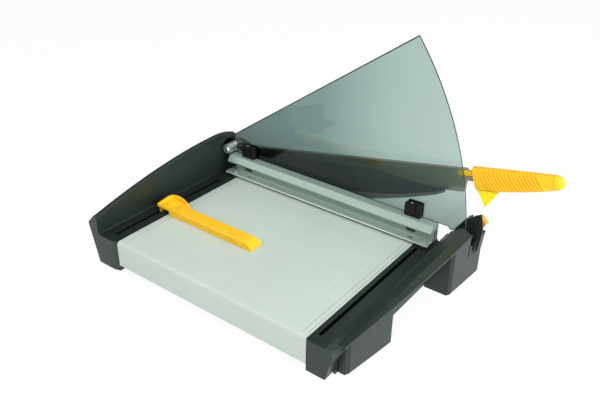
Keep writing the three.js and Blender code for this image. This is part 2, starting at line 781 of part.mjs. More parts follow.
// Far rail: ledge at bed level and a wall that rises to the right
function wallTop(x) {
  const u = THREE.MathUtils.clamp(x / WALL_CROWN, 0, 1);
  const rise = 1 - (1 - u) ** WALL_CURVE_SHARE;
  const past = Math.max(0, (x - WALL_CROWN) / (WALL_RIGHT - WALL_CROWN));
  return WALL_TOP_LEFT + (WALL_TOP_RIGHT - WALL_TOP_LEFT) * rise - WALL_END_DROP * past ** 2;
}

function farSection(x) {
  const top = wallTop(x);
  const lean = WALL_TOP_LEFT * LEAN_HEIGHT_SHARE + (top - WALL_TOP_LEFT) * LEAN_HEIGHT_SHARE / 2;
  return [
    [BED_LENGTH + FIT, BASE_Z], [FAR_WALL_Y + WALL_FOOT, BASE_Z], [FAR_WALL_Y + WALL_LEAN, lean],
    [FAR_WALL_Y + WALL_LEAN, lean + WALL_EDGE], [FAR_WALL_Y + WALL_TOP_THICK, top],
    [FAR_WALL_Y + WALL_EDGE, top], [FAR_WALL_Y, top - WALL_EDGE], [FAR_WALL_Y, WALL_FILLET],
    [FAR_WALL_Y - WALL_FILLET, 0], [BED_LENGTH + FIT, 0],
  ];
}

function farCavity(x) {
  const top = wallTop(x) - 2 * RAIL_WALL;
  const lean = WALL_TOP_LEFT * LEAN_HEIGHT_SHARE;
  const low = BASE_Z - OVERRUN;
  return [
    [BED_LENGTH + FIT + RAIL_WALL, low], [FAR_WALL_Y + WALL_FOOT - RAIL_WALL, low],
    [FAR_WALL_Y + WALL_LEAN - RAIL_WALL, lean], [FAR_WALL_Y + WALL_TOP_THICK, top],
    [FAR_WALL_Y + RAIL_WALL, top], [FAR_WALL_Y + RAIL_WALL, -RAIL_WALL],
    [BED_LENGTH + FIT + RAIL_WALL, -RAIL_WALL],
  ];
}

function farRail() {
  const places = [-FAR_LEFT, ...steps(0, WALL_CROWN, 10), ...steps(WALL_CROWN, WALL_RIGHT, 4).slice(1)];
  let rail = loftX(places.map((x) => ({ at: x, outline: farSection(x) })));
  const legEnd = LEG_LEFT - FAR_LEFT;
  const legStart = WALL_RIGHT - LEG_RIGHT;
  const cavity = steps(legEnd, legStart, 6).map((x) => ({ at: x, outline: farCavity(x) }));
  rail = rail.subtract(loftX(cavity));
  const arch = roundedRect(legEnd, legStart, BASE_Z - 2 * ARCH_ROUND, -ARCH_DROP, ARCH_ROUND);
  rail = rail.subtract(alongY(arch, BED_LENGTH - OVERRUN, FAR_WALL_Y + WALL_LEAN + OVERRUN));
  const chamfer = polygon([
    [-FAR_LEFT - OVERRUN, BED_LENGTH - OVERRUN], [FIT, BED_LENGTH - OVERRUN], [FIT, BED_LENGTH + FIT],
    [-FAR_LEFT, BED_LENGTH + FAR_CHAMFER], [-FAR_LEFT - OVERRUN, BED_LENGTH + FAR_CHAMFER],
  ]);
  rail = rail.subtract(alongZ(chamfer, BASE_Z - OVERRUN, OVERRUN));
  const ledgeEnd = box(
    BED_WIDTH + FIT, WALL_RIGHT + OVERRUN, BED_LENGTH - OVERRUN, FAR_WALL_Y, BASE_Z - OVERRUN, PIVOT_Z * 2,
  );
  rail = rail.subtract(ledgeEnd);
  const niche = rodY(NICHE_RADIUS, FAR_WALL_Y - OVERRUN, FAR_WALL_Y + NICHE_DEPTH, nicheX(), PIVOT_Z);
  rail = rail.subtract(niche);
  const tower = box(TOWER_START, BED_WIDTH, towerFront(), FAR_WALL_Y + RAIL_WALL, -OVERRUN, PIVOT_Z);
  rail = rail.add(tower);
  const boreStart = housingStart() - FIT - BOLT_HEAD_THICK - FIT;
  rail = rail.subtract(rodX(HOUSING_RADIUS + FIT, boreStart, WALL_RIGHT + OVERRUN, PIVOT_Y, PIVOT_Z));
  rail = rail.subtract(alongZ(roundedRect(
    FAR_SLOT_START, farSlotEnd(), farSlotY() - FAR_SLOT_WIDTH / 2, farSlotY() + FAR_SLOT_WIDTH / 2,
    FAR_SLOT_WIDTH / 2,
  ), -farSlotDepth(), OVERRUN));
  const channelHalf = TONGUE_PLATE / 2 + FIT;
  rail = rail.subtract(box(
    FAR_SLOT_START, farSlotEnd(), farSlotY() - channelHalf, farSlotY() + channelHalf,
    -farSlotDepth(), -RAIL_WALL,
  ));
  rail = rail.subtract(springPocket(guideScrewFarY()));
  for (const x of railScrewPlaces()) {
    rail = rail.subtract(rodY(
      SMALL_SHANK + FIT, BED_LENGTH - OVERRUN, BED_LENGTH + RAIL_WALL + OVERRUN, x, railScrewZ(),
    ));
  }
  for (const [x, y] of farRubberPlaces()) {
    rail = rail.subtract(rodZ(RUBBER_RADIUS + FIT, BASE_Z - OVERRUN, rubberTop() + FIT, x, y));
  }
  return rail;
}

function nicheX() {
  return (TOWER_START + BED_WIDTH) / 2;
}

function towerFront() {
  return PIVOT_Y - TOWER_FRONT_GAP;
}

function farSlotY() {
  return BED_LENGTH + FAR_SLOT_IN;
}

function farSlotEnd() {
  return BED_WIDTH - FAR_SLOT_STOP;
}

function farSlotDepth() {
  return RAIL_WALL + TONGUE_PLATE_THICK + RAIL_WALL;
}

function farRubberPlaces() {
  const y = BED_LENGTH + LEDGE_FAR / 2;
  return [[-FAR_LEFT + LEG_LEFT / 2, y], [BED_WIDTH - LEG_RIGHT / 2, y]];
}

// Screws that hold the rails to the end ribs of the bed
function railScrewPlaces() {
  return [LEG_LEFT - FAR_LEFT + RAIL_SCREW_CLEAR, WALL_RIGHT - LEG_RIGHT - RAIL_SCREW_CLEAR];
}

function railScrewZ() {
  return -BED_SHEET - FIT - RIB_DEPTH / 2;
}

// Counter-blade and its screws, put in from inside the skirt
function counterScrewPlaces() {
  return steps(0, 1, COUNTER_SCREWS - 1).map((u) => BED_LENGTH * (0.1 + 0.8 * u));
}

function counterBlade() {
  let bar = box(BED_WIDTH + FIT, CUT_X, -COUNTER_NEAR, BED_LENGTH + COUNTER_FAR, -COUNTER_DEPTH, 0);
  for (const y of counterScrewPlaces()) {
    bar = bar.subtract(rodX(
      SMALL_SHANK + FIT, BED_WIDTH - OVERRUN, CUT_X - OVERRUN, y, -COUNTER_DEPTH / 2,
    ));
  }
  return bar;
}

function counterScrew(y) {
  const z = -COUNTER_DEPTH / 2;
  const inside = BED_WIDTH - BED_SHEET - FIT;
  const shank = rodX(SMALL_SHANK, inside - OVERRUN, CUT_X - OVERRUN - FIT, y, z, 12);
  return shank.add(rodX(SMALL_HEAD, inside - SMALL_HEAD_THICK, inside, y, z, 12));
}

function railScrew(x, side) {
  const z = railScrewZ();
  const [tip, wall] = side < 0
    ? [endRibY(-1) + RIB_SHEET + OVERRUN, -FIT - RAIL_WALL - FIT]
    : [endRibY(1) - RIB_SHEET - OVERRUN, BED_LENGTH + FIT + RAIL_WALL + FIT];
  const shank = rodY(SMALL_SHANK, Math.min(tip, wall), Math.max(tip, wall), x, z, 12);
  const head = side < 0
    ? rodY(SMALL_HEAD, wall - SMALL_HEAD_THICK, wall + OVERRUN / 10, x, z, 12)
    : rodY(SMALL_HEAD, wall - OVERRUN / 10, wall + SMALL_HEAD_THICK, x, z, 12);
  return shank.add(head);
}

function endRibY(side) {
  return side < 0 ? RIB_SHEET : BED_LENGTH - RIB_SHEET;
}

function endRib(side) {
  let rib = bedRib(endRibY(side));
  for (const x of railScrewPlaces()) {
    rib = rib.subtract(rodY(
      SMALL_SHANK + FIT, endRibY(side) - 2 * RIB_SHEET, endRibY(side) + 2 * RIB_SHEET, x, railScrewZ(),
    ));
  }
  return rib;
}

// Pivot: a metal housing in the far rail, a bolt through it, washers and a lock nut
function pivotEnd() {
  return ARM_RIGHT + FIT + WASHER_THICK + FIT + NUT_THICK + FIT;
}

function pivotHousing() {
  const tube = rodX(HOUSING_RADIUS, housingStart(), housingEnd(), PIVOT_Y, PIVOT_Z);
  const from = housingStart() - OVERRUN;
  return tube.subtract(rodX(BOLT_RADIUS + BOLT_PLAY, from, housingEnd() + OVERRUN, PIVOT_Y, PIVOT_Z));
}

function housingEnd() {
  return ARM_X - FIT - WASHER_THICK - FIT;
}

function housingStart() {
  return housingEnd() - HOUSING_LENGTH;
}

function pivotBolt() {
  const headEnd = housingStart() - FIT;
  const shank = rodX(BOLT_RADIUS, headEnd - OVERRUN, pivotEnd(), PIVOT_Y, PIVOT_Z);
  const head = new THREE.CylinderGeometry(
    BOLT_HEAD_RADIUS * 0.8, BOLT_HEAD_RADIUS, BOLT_HEAD_THICK, CYLINDER_SIDES,
  );
  head.rotateZ(Math.PI / 2);
  head.translate(headEnd - BOLT_HEAD_THICK / 2, PIVOT_Y, PIVOT_Z);
  return shank.add(solid(head));
}

function ring(radius, x0, x1, sides) {
  const disc = rodX(radius, x0, x1, PIVOT_Y, PIVOT_Z, sides);
  return disc.subtract(rodX(BOLT_RADIUS + BOLT_PLAY, x0 - OVERRUN, x1 + OVERRUN, PIVOT_Y, PIVOT_Z));
}

// Arm pieces are drawn with the pivot at the origin and the arm level, reaching towards -y
function armBar() {
  const shape = new THREE.Shape();
  const inside = GRIP_START + GRIP_BURIED;
  shape.moveTo(-inside, -TANG_BOTTOM);
  shape.lineTo(-ARM_STEP, -TANG_BOTTOM);
  shape.lineTo(-ARM_NECK_END, -ARM_NECK);
  shape.lineTo(-BLADE_TIP, -ARM_NECK);
  shape.quadraticCurveTo(
    -BLADE_TIP * ARM_SWELL_SHARE, -ARM_NECK, -BLADE_SCREW_LAST * ARM_SWELL_SHARE, -ARM_WAIST,
  );
  shape.lineTo(-2 * ARM_HEAD, -ARM_HEEL);
  shape.quadraticCurveTo(-ARM_HEAD, -ARM_HEEL, 0, -ARM_HEAD);
  shape.absarc(0, 0, ARM_HEAD, -Math.PI / 2, Math.PI / 2, false);
  shape.quadraticCurveTo(-ARM_HEAD, ARM_HEAD, -3 * ARM_HEAD, ARM_TOP);
  shape.lineTo(-ARM_STEP, ARM_TOP);
  shape.lineTo(-ARM_STEP - ARM_THICK / 2, -TANG_TOP);
  shape.lineTo(-inside, -TANG_TOP);
  let bar = alongX(shape, ARM_X, ARM_RIGHT, 10);
  bar = bar.subtract(rodX(BOLT_RADIUS + BOLT_PLAY, ARM_X - OVERRUN, ARM_RIGHT + OVERRUN, 0, 0));
  for (const [y, z] of bladeScrewPlaces()) {
    bar = bar.subtract(rodX(SMALL_SHANK + FIT, ARM_X - OVERRUN, ARM_RIGHT + OVERRUN, y, z, 16));
  }
  for (const along of handleScrewPlaces()) {
    bar = bar.subtract(handleScrewShape(along, FIT));
  }
  return bar;
}

// Back of the knife: close to straight, then falling to the neck of the arm
function bladeTopZ(along) {
  const u = THREE.MathUtils.clamp((along - BLADE_HEEL) / (BLADE_TIP - BLADE_HEEL), 0, 1);
  const fall = THREE.MathUtils.smoothstep(u, BLADE_FALL_SHARE, 1);
  return -BLADE_TOP_HEEL - BLADE_TOP_SLOPE * u - (BLADE_TOP_TIP - BLADE_TOP_HEEL - BLADE_TOP_SLOPE) * fall;
}

function bladeEdgeZ(along) {
  const cut = -BLADE_LOW + (Math.min(along, BLADE_TIP) - BLADE_LOW_AT) ** 2 / (2 * BLADE_CURVE);
  const nose = Math.max(0, (along - BLADE_TIP) / BLADE_NOSE);
  return cut + (bladeTopZ(along) - BLADE_BEVEL - OVERRUN - cut) * nose;
}

// Curved knife: full thickness down to the bevel, then ground towards the cutting face
function blade() {
  const places = [...steps(BLADE_HEEL, BLADE_TIP, 24), BLADE_TIP + BLADE_NOSE];
  const outer = BLADE_X + BLADE_THICK;
  const rings = places.map((along) => {
    const edge = bladeEdgeZ(along);
    const top = bladeTopZ(along);
    const section = [
      [BLADE_X, edge], [BLADE_X + BLADE_EDGE, edge], [outer, edge + BLADE_BEVEL],
      [outer, top], [BLADE_X, top],
    ];
    return section.map(([x, z]) => [x, -along, z]);
  });
  let knife = skin(rings);
  for (const [y, z] of bladeScrewPlaces()) {
    knife = knife.subtract(rodX(SMALL_SHANK + FIT, BLADE_X + BLADE_EDGE, ARM_X + OVERRUN, y, z, 16));
  }
  return knife;
}

function bladeScrewPlaces() {
  return steps(BLADE_SCREW_FIRST, BLADE_SCREW_LAST, BLADE_SCREWS - 1)
    .map((along) => [-along, bladeTopZ(along) - BLADE_SCREW_BELOW]);
}

function bladeScrew([y, z]) {
  const outside = ARM_RIGHT + FIT;
  const shank = rodX(SMALL_SHANK, BLADE_X + BLADE_EDGE + FIT, outside + SMALL_HEAD_THICK / 2, y, z, 12);
  return shank.add(rodX(SMALL_HEAD, outside, outside + SMALL_HEAD_THICK, y, z, 12));
}

// Handle: oval grip with slanting ribs on both sides
function gripSection(along, proud) {
  const u = (along - GRIP_START) / (GRIP_END - GRIP_START);
  const halfHeight = gripHeight(u) / 2;
  const halfWidth = (GRIP_WIDTH + (GRIP_WIDTH_END - GRIP_WIDTH) * u) / 2 - GRIP_RIB_PROUD + proud;
  const middle = gripMiddleZ(u);
  return steps(0, 1, GRIP_SIDES).slice(1).map((turn) => {
    const angle = 2 * Math.PI * turn;
    const x = Math.sign(Math.cos(angle)) * Math.abs(Math.cos(angle)) ** GRIP_SQUARE_SHARE * halfWidth;
    const z = Math.sign(Math.sin(angle)) * Math.abs(Math.sin(angle)) ** GRIP_SQUARE_SHARE * halfHeight;
    return [armMiddle() + x, -along, middle + z];
  });
}

function armMiddle() {
  return (ARM_X + ARM_RIGHT) / 2;
}

function gripBody(from, to, proud, count) {
  return skin(steps(from, to, count).map((along) => gripSection(along, proud)));
}

function handleGrip() {
  let grip = gripBody(GRIP_START, GRIP_END, 0, GRIP_STATIONS);
  const ribbed = gripBody(GRIP_START + GRIP_PLAIN / 2, GRIP_END - OVERRUN, GRIP_RIB_PROUD, GRIP_STATIONS);
  const slats = steps(0, GRIP_RIBS - 1, GRIP_RIBS - 1).map((k) => {
    const slat = new THREE.BoxGeometry(2 * GRIP_WIDTH, GRIP_RIB_THICK, 2 * GRIP_HEIGHT_FRONT);
    slat.rotateX(THREE.MathUtils.degToRad(GRIP_RIB_SLANT));
    slat.translate(armMiddle(), -GRIP_START - GRIP_PLAIN - k * RIB_PITCH, GRIP_TOP - GRIP_HEIGHT_FRONT / 2);
    return solid(slat);
  });
  grip = grip.add(wasm.Manifold.union(slats).intersect(ribbed)).subtract(frontCut());
  const bore = box(
    ARM_X - FIT, ARM_RIGHT + FIT, -GRIP_START - GRIP_BURIED - FIT, -GRIP_START + OVERRUN,
    -TANG_BOTTOM - FIT, -TANG_TOP + FIT,
  );
  grip = grip.subtract(bore);
  const tonguePocket = box(
    ARM_X - FIT - FIT - TONGUE_THICK, ARM_X, -GRIP_START - TONGUE_IN - FIT, -GRIP_START + OVERRUN,
    THUMB_TOP - THUMB_HEIGHT - FIT, THUMB_TOP + FIT,
  );
  grip = grip.subtract(tonguePocket);
  const catchNotch = box(
    SLOT_RIGHT - LATCH_TRAVEL - FIT, SLOT_RIGHT + OVERRUN,
    -GRIP_START - NOTCH_LENGTH, -GRIP_START + OVERRUN, NOTCH_FLOOR, GRIP_TOP + OVERRUN,
  );
  grip = grip.subtract(catchNotch);
  grip = grip.subtract(finStub(FIT));
  const capHole = rodY(
    CAP_STUB + FIT, -GRIP_END - OVERRUN, -GRIP_END + CAP_LENGTH, armMiddle(), gripMiddleZ(1), CYLINDER_SIDES,
  );
  grip = grip.subtract(capHole);
  for (const along of handleScrewPlaces()) {
    grip = grip.subtract(handleScrewShape(along, FIT));
  }
  return grip;
}

// The grip's front face leans back towards its underside
function frontCut() {
  const high = GRIP_TOP + OVERRUN;
  const low = GRIP_TOP - GRIP_HEIGHT_FRONT - OVERRUN;
  const outline = polygon([
    [-GRIP_START, high], [-GRIP_START - GRIP_FRONT_SLANT, low], [-GRIP_START + OVERRUN, low],
    [-GRIP_START + OVERRUN, high],
  ]);
  return alongX(outline, armMiddle() - GRIP_WIDTH, armMiddle() + GRIP_WIDTH);
}

function gripHeight(u) {
  return GRIP_HEIGHT_FRONT + (GRIP_HEIGHT_END - GRIP_HEIGHT_FRONT) * u ** 2;
}

function gripMiddleZ(u) {
  return GRIP_TOP - GRIP_SAG * u - gripHeight(u) / 2;
}

function handleScrewPlaces() {
  return [GRIP_START + GRIP_BURIED * 0.4, GRIP_START + GRIP_BURIED * 0.8];
}

function handleScrewZ() {
  return -(TANG_TOP + TANG_BOTTOM) / 2;
}

// Screws through the right half of the grip into the tang of the arm
function handleScrewShape(along, play) {
  const outer = armMiddle() + GRIP_WIDTH / 2;
  const z = handleScrewZ();
  const seat = outer - GRIP_RIB_PROUD - SMALL_HEAD_THICK - play;
  const shank = rodX(SMALL_SHANK + play, ARM_RIGHT - ARM_THICK / 2 - play, outer, -along, z, 12);
  const headEnd = play > 0 ? outer + OVERRUN : seat + SMALL_HEAD_THICK;
  const head = rodX(SMALL_HEAD + play, seat, headEnd, -along, z, 12);
  return play > 0 ? shank.add(head) : shank.intersect(
    rodX(SMALL_HEAD, 0, seat + SMALL_HEAD_THICK, -along, z, 12),
  ).add(head);
}

function handleCap() {
  const start = GRIP_END + FIT;
  const rounding = [0, 0.35, 0.65, 0.85, 0.97];
  const rings = rounding.map((share) => {
    const along = start + share * CAP_LENGTH;
    const scale = Math.sqrt(1 - share ** 2);
    const middle = [armMiddle(), -along, gripMiddleZ(1)];
    return gripSection(GRIP_END, 0).map(([x, , z]) => [
      middle[0] + (x - middle[0]) * scale, middle[1], middle[2] + (z - middle[2]) * scale,
    ]);
  });
  const stub = rodY(
    CAP_STUB, -start - OVERRUN, -GRIP_END + CAP_LENGTH - FIT, armMiddle(), gripMiddleZ(1), CYLINDER_SIDES,
  );
  return skin(rings).add(stub);
}

function thumbTongue() {
  const tip = GRIP_START - THUMB_LENGTH + THUMB_HEIGHT / 2;
  const shape = new THREE.Shape();
  shape.moveTo(-GRIP_START - TONGUE_IN, THUMB_TOP - THUMB_HEIGHT);
  shape.lineTo(-tip, THUMB_TOP - THUMB_HEIGHT);
  shape.absarc(-tip, THUMB_TOP - THUMB_HEIGHT / 2, THUMB_HEIGHT / 2, -Math.PI / 2, Math.PI / 2, false);
  shape.lineTo(-GRIP_START - TONGUE_IN, THUMB_TOP);
  return alongX(shape, ARM_X - FIT - TONGUE_THICK, ARM_X - FIT);
}

// Finger guard: a fin that hangs from the front of the grip
function finStub(play) {
  return box(
    armMiddle() - FIN_STUB / 2 - play, armMiddle() + FIN_STUB / 2 + play,
    -GRIP_START - FIN_START - FIN_LENGTH * 0.75 - play, -GRIP_START - FIN_START - FIN_LENGTH * 0.25 + play,
    GRIP_TOP - GRIP_HEIGHT_FRONT - FIN_STUB, GRIP_TOP - GRIP_HEIGHT_FRONT + FIN_STUB + play,
  );
}

function fingerFin() {
  const front = -GRIP_START - FIN_START;
  const top = gripUnder(GRIP_START + FIN_START) - FIT;
  const shape = new THREE.Shape();
  shape.moveTo(front, top);
  shape.lineTo(front - FIN_LENGTH, top + FIT);
  const tip = front - FIN_LENGTH * FIN_TIP_SHARE;
  const [bulgeAlong, bulgeDown] = finBulgeShares;
  shape.quadraticCurveTo(
    front - FIN_LENGTH * bulgeAlong, top - FIN_DROP * bulgeDown, tip - FIN_TIP_ROUND, top - FIN_DROP,
  );
  shape.lineTo(tip, top - FIN_DROP + FIN_TIP_ROUND);
  const fin = alongX(shape, armMiddle() - FIN_THICK / 2, armMiddle() + FIN_THICK / 2);
  return fin.subtract(gripBody(GRIP_START, GRIP_END, FIT, GRIP_STATIONS).add(gripClear())).add(finStub(0));
}

function gripClear() {
  return box(
    armMiddle() - GRIP_WIDTH, armMiddle() + GRIP_WIDTH, -GRIP_END, -GRIP_START,
    gripUnder(GRIP_START + FIN_START) - FIT, 0,
  );
}

function gripUnder(along) {
  const zs = gripSection(along, 0).map((point) => point[2]);
  return Math.min(...zs);
}

// Clamp: one extruded bar with a lip along the bed
function clampSection() {
  const flangeTop = CLAMP_LIFT + FLANGE_THICK;
  const fillet = FLANGE_THICK / 2;
  return polygon([
    [CLAMP_LEFT, CLAMP_LIFT], [CLAMP_RIGHT, CLAMP_LIFT], [CLAMP_RIGHT, CLAMP_TOP - fillet],
    [CLAMP_RIGHT - fillet, CLAMP_TOP], [BAR_LEFT + BEVEL_X, CLAMP_TOP], [BAR_LEFT, CLAMP_TOP - BEVEL_Z],
    [BAR_LEFT, BAR_UNDER], [CLAMP_WEB, BAR_UNDER], [CLAMP_WEB, flangeTop + fillet],
    [CLAMP_WEB - fillet, flangeTop], [CLAMP_LEFT, flangeTop],
  ]);
}

function clampBar() {
  let bar = alongY(clampSection(), CLAMP_NEAR_Y, CLAMP_FAR_Y);
  const hollow = polygon([
    [CLAMP_WEB + RAIL_WALL, CLAMP_LIFT + RAIL_WALL], [CLAMP_RIGHT - RAIL_WALL, CLAMP_LIFT + RAIL_WALL],
    [CLAMP_RIGHT - RAIL_WALL, BAR_UNDER], [CLAMP_WEB + RAIL_WALL, BAR_UNDER],
  ]);
  bar = bar.subtract(alongY(hollow, CLAMP_NEAR_Y - OVERRUN, CLAMP_FAR_Y + OVERRUN));
  for (const y of [guideScrewNearY(), guideScrewFarY()]) {
    bar = bar.subtract(rodZ(GUIDE_SCREW_SHANK + FIT, 0, BAR_UNDER - OVERRUN, GUIDE_SCREW_X, y));
  }
  for (const y of [CLAMP_NEAR_Y + CLAMP_HOLE_NEAR, CLAMP_FAR_Y - CLAMP_HOLE_FAR]) {
    bar = bar.subtract(rodZ(CLAMP_HOLE_RADIUS, 0, CLAMP_LIFT + FLANGE_THICK + OVERRUN, GUIDE_SCREW_X, y));
  }
  for (const y of [CLAMP_NEAR_Y + CLAMP_SLOT_NEAR, CLAMP_FAR_Y - CLAMP_SLOT_FAR]) {
    bar = bar.subtract(alongX(roundedRect(
      y - CLAMP_SLOT_LENGTH / 2, y + CLAMP_SLOT_LENGTH / 2,
      CLAMP_SLOT_Z - CLAMP_HOLE_RADIUS, CLAMP_SLOT_Z + CLAMP_HOLE_RADIUS, CLAMP_HOLE_RADIUS,
    ), CLAMP_WEB - OVERRUN, CLAMP_WEB + RAIL_WALL + OVERRUN));
  }
  bar = bar.subtract(box(
    CLAMP_WEB - FLANGE_THICK, CLAMP_RIGHT + OVERRUN, CLAMP_FAR_Y - CLAMP_END_CUT, CLAMP_FAR_Y + OVERRUN,
    CLAMP_LIFT + FLANGE_THICK, BAR_UNDER,
  ));
  for (const y of [BRACKET_NEAR_Y, BRACKET_FAR_Y]) {
    bar = bar.subtract(bracketScrewShape(y, FIT));
  }
  return bar;
}

function guideScrewNearY() {
  return CLAMP_NEAR_Y + GUIDE_SCREW_IN;
}

function guideScrewFarY() {
  return CLAMP_FAR_Y - GUIDE_SCREW_FAR_IN;
}

function springPocket(y) {
  return rodZ(SPRING_POCKET_RADIUS, -SPRING_POCKET, OVERRUN, GUIDE_SCREW_X, y)
    .add(rodZ(GUIDE_SCREW_SHANK + FIT, -GUIDE_SCREW_GRIP - FIT, OVERRUN, GUIDE_SCREW_X, y));
}

function springBoss(y) {
  const radius = SPRING_POCKET_RADIUS + RAIL_WALL / 2;
  return rodZ(radius, -GUIDE_SCREW_GRIP - RAIL_WALL, -OVERRUN, GUIDE_SCREW_X, y);
}

function guideScrew(y) {
  const seat = CLAMP_LIFT + FLANGE_THICK + FIT;
  const top = seat + GUIDE_SCREW_HEAD_THICK;
  const shank = rodZ(GUIDE_SCREW_SHANK, -GUIDE_SCREW_GRIP, seat + OVERRUN, GUIDE_SCREW_X, y);
  const head = rodZ(GUIDE_SCREW_HEAD, seat, top, GUIDE_SCREW_X, y);
  const cut = GUIDE_SCREW_HEAD_THICK / 2;
  const long = GUIDE_SCREW_HEAD * 0.6;
  const thin = GUIDE_SCREW_HEAD * 0.15;
  const recess = box(GUIDE_SCREW_X - long, GUIDE_SCREW_X + long, y - thin, y + thin, top - cut, top + OVERRUN)
    .add(box(GUIDE_SCREW_X - thin, GUIDE_SCREW_X + thin, y - long, y + long, top - cut, top + OVERRUN));
  return shank.add(head).subtract(recess);
}

// Spring: one unbroken wire wound round the guide screw
class Coil extends THREE.Curve {
  constructor(y, bottom, top) {
    super();
    this.y = y;
    this.bottom = bottom;
    this.top = top;
  }

  getPoint(t, target = new THREE.Vector3()) {
    const angle = 2 * Math.PI * SPRING_TURNS * t;
    return target.set(
      GUIDE_SCREW_X + SPRING_RADIUS * Math.cos(angle), this.y + SPRING_RADIUS * Math.sin(angle),
      this.bottom + (this.top - this.bottom) * t,
    );
  }
}

function clampSpring(y) {
  const bottom = -SPRING_POCKET + FIT + SPRING_WIRE;
  const top = CLAMP_LIFT - FIT - SPRING_WIRE;
  const wire = new THREE.Shape();
  wire.absarc(0, 0, SPRING_WIRE, 0, 2 * Math.PI);
  const path = new Coil(y, bottom, top);
  const geometry = new THREE.ExtrudeGeometry(wire, {
    steps: 8 * SPRING_TURNS, curveSegments: 5, bevelEnabled: false, extrudePath: path,
  });
  const points = path.getPoints(8 * SPRING_TURNS);
  const apart = points.slice(8).map((point, i) => point.distanceTo(points[i]) - 2 * SPRING_WIRE);
  console.log('spring least self-gap', Math.min(...apart).toFixed(2));
  return solid(geometry);
}

// Hand guard: a clear sheet with an arched edge, standing in its two brackets
function guardSheet() {
  const radius = Math.hypot(GUARD_END_OUT + GUARD_ARC_Y, GUARD_END_Z - GUARD_ARC_Z);
  const base = CLAMP_TOP + FIT;
  const topZ = GUARD_ARC_Z + Math.sqrt(radius ** 2 - (GUARD_ARC_Y - GUARD_TOP_Y) ** 2);
  const startAngle = Math.atan2(topZ - GUARD_ARC_Z, GUARD_TOP_Y - GUARD_ARC_Y);
  const endAngle = Math.PI - Math.asin((GUARD_END_Z - GUARD_ARC_Z) / radius);
  const shape = new THREE.Shape();
  shape.moveTo(GUARD_RISE_FROM + GUARD_NOTCH, base);
  shape.lineTo(GUARD_FAR - GUARD_NOTCH, base);
  shape.lineTo(GUARD_FAR - GUARD_NOTCH, GUARD_NOTCH_TOP);
  shape.lineTo(GUARD_FAR, GUARD_NOTCH_TOP);
  shape.lineTo(GUARD_FAR, GUARD_APEX_Z);
  shape.lineTo(GUARD_TOP_Y, topZ);
  shape.absarc(GUARD_ARC_Y, GUARD_ARC_Z, radius, startAngle, endAngle, false);
  const dip = base - GUARD_NOTCH;
  shape.lineTo(GUARD_RISE_FROM - GUARD_NOTCH, dip);
  shape.lineTo(GUARD_RISE_FROM - GUARD_NOTCH / 2, dip - GUARD_NOTCH / 8);
  shape.quadraticCurveTo(GUARD_RISE_FROM + GUARD_NOTCH / 2, dip, GUARD_RISE_FROM + GUARD_NOTCH, base);
  let sheet = alongX(shape, GUARD_X - GUARD_THICK / 2, GUARD_X + GUARD_THICK / 2, 14);
  for (const y of [BRACKET_NEAR_Y, BRACKET_FAR_Y]) {
    sheet = sheet.subtract(bracketBridge(y, FIT));
  }
  return sheet;
}

function bracketBridge(y, play) {
  const inset = BRACKET_LENGTH * 0.2;
  return box(
    GUARD_X - GUARD_THICK, GUARD_X + GUARD_THICK, y + inset - play, y + BRACKET_LENGTH - inset + play,
    CLAMP_TOP + FIT - (play > 0 ? OVERRUN : 0), CLAMP_TOP + BRACKET_HEIGHT * 0.35 + play,
  );
}

// Bracket: a block with rounded top corners that grips the sheet from both sides
function guardBracket(y) {
  const base = CLAMP_TOP + FIT;
  const top = CLAMP_TOP + BRACKET_HEIGHT;
  const end = y + BRACKET_LENGTH;
  const shape = new THREE.Shape();
  shape.moveTo(y, base);
  shape.lineTo(end, base);
  shape.lineTo(end, top - BRACKET_ROUND);
  shape.absarc(end - BRACKET_ROUND, top - BRACKET_ROUND, BRACKET_ROUND, 0, Math.PI / 2);
  shape.lineTo(y + BRACKET_ROUND, top);
  shape.absarc(y + BRACKET_ROUND, top - BRACKET_ROUND, BRACKET_ROUND, Math.PI / 2, Math.PI);
  const left = GUARD_X - BRACKET_FRONT;
  let block = alongX(shape, left, GUARD_X + BRACKET_BACK + GUARD_THICK / 2);
  const plan = roundedRect(
    left, GUARD_X + BRACKET_BACK + GUARD_THICK / 2, y, end, BRACKET_ROUND / 2,
  );
  block = block.intersect(alongZ(plan, 0, top + OVERRUN));
  block = block.subtract(box(
    GUARD_X - GUARD_THICK / 2 - FIT, GUARD_X + GUARD_THICK / 2 + FIT, y - OVERRUN, end + OVERRUN,
    base - OVERRUN, top + OVERRUN,
  ));
  block = block.add(bracketBridge(y, 0));
  const groove = end - BRACKET_LENGTH * BRACKET_GROOVE_SHARE;
  block = block.subtract(box(
    left - OVERRUN, left + BRACKET_GROOVE, groove - BRACKET_GROOVE / 2, groove + BRACKET_GROOVE / 2,
    base - OVERRUN, top + OVERRUN,
  ));
  return block.subtract(bracketScrewShape(y, FIT));
}

function bracketScrewX() {
  return GUARD_X - BRACKET_FRONT / 2 - GUARD_THICK / 4;
}

function bracketScrewShape(y, play) {
  const middle = y + BRACKET_LENGTH * 0.6;
  const top = CLAMP_TOP + BRACKET_HEIGHT;
  const seat = top - SMALL_HEAD_THICK - play;
  const shank = rodZ(
    BRACKET_SCREW - FIT + play, BAR_UNDER + RAIL_WALL - play, seat + play, bracketScrewX(), middle, 12,
  );
  const cut = play > 0 ? OVERRUN : -FIT;
  const head = rodZ(SMALL_HEAD - 2 * FIT + play, seat, top + cut, bracketScrewX(), middle, 12);
  return shank.add(head);
}

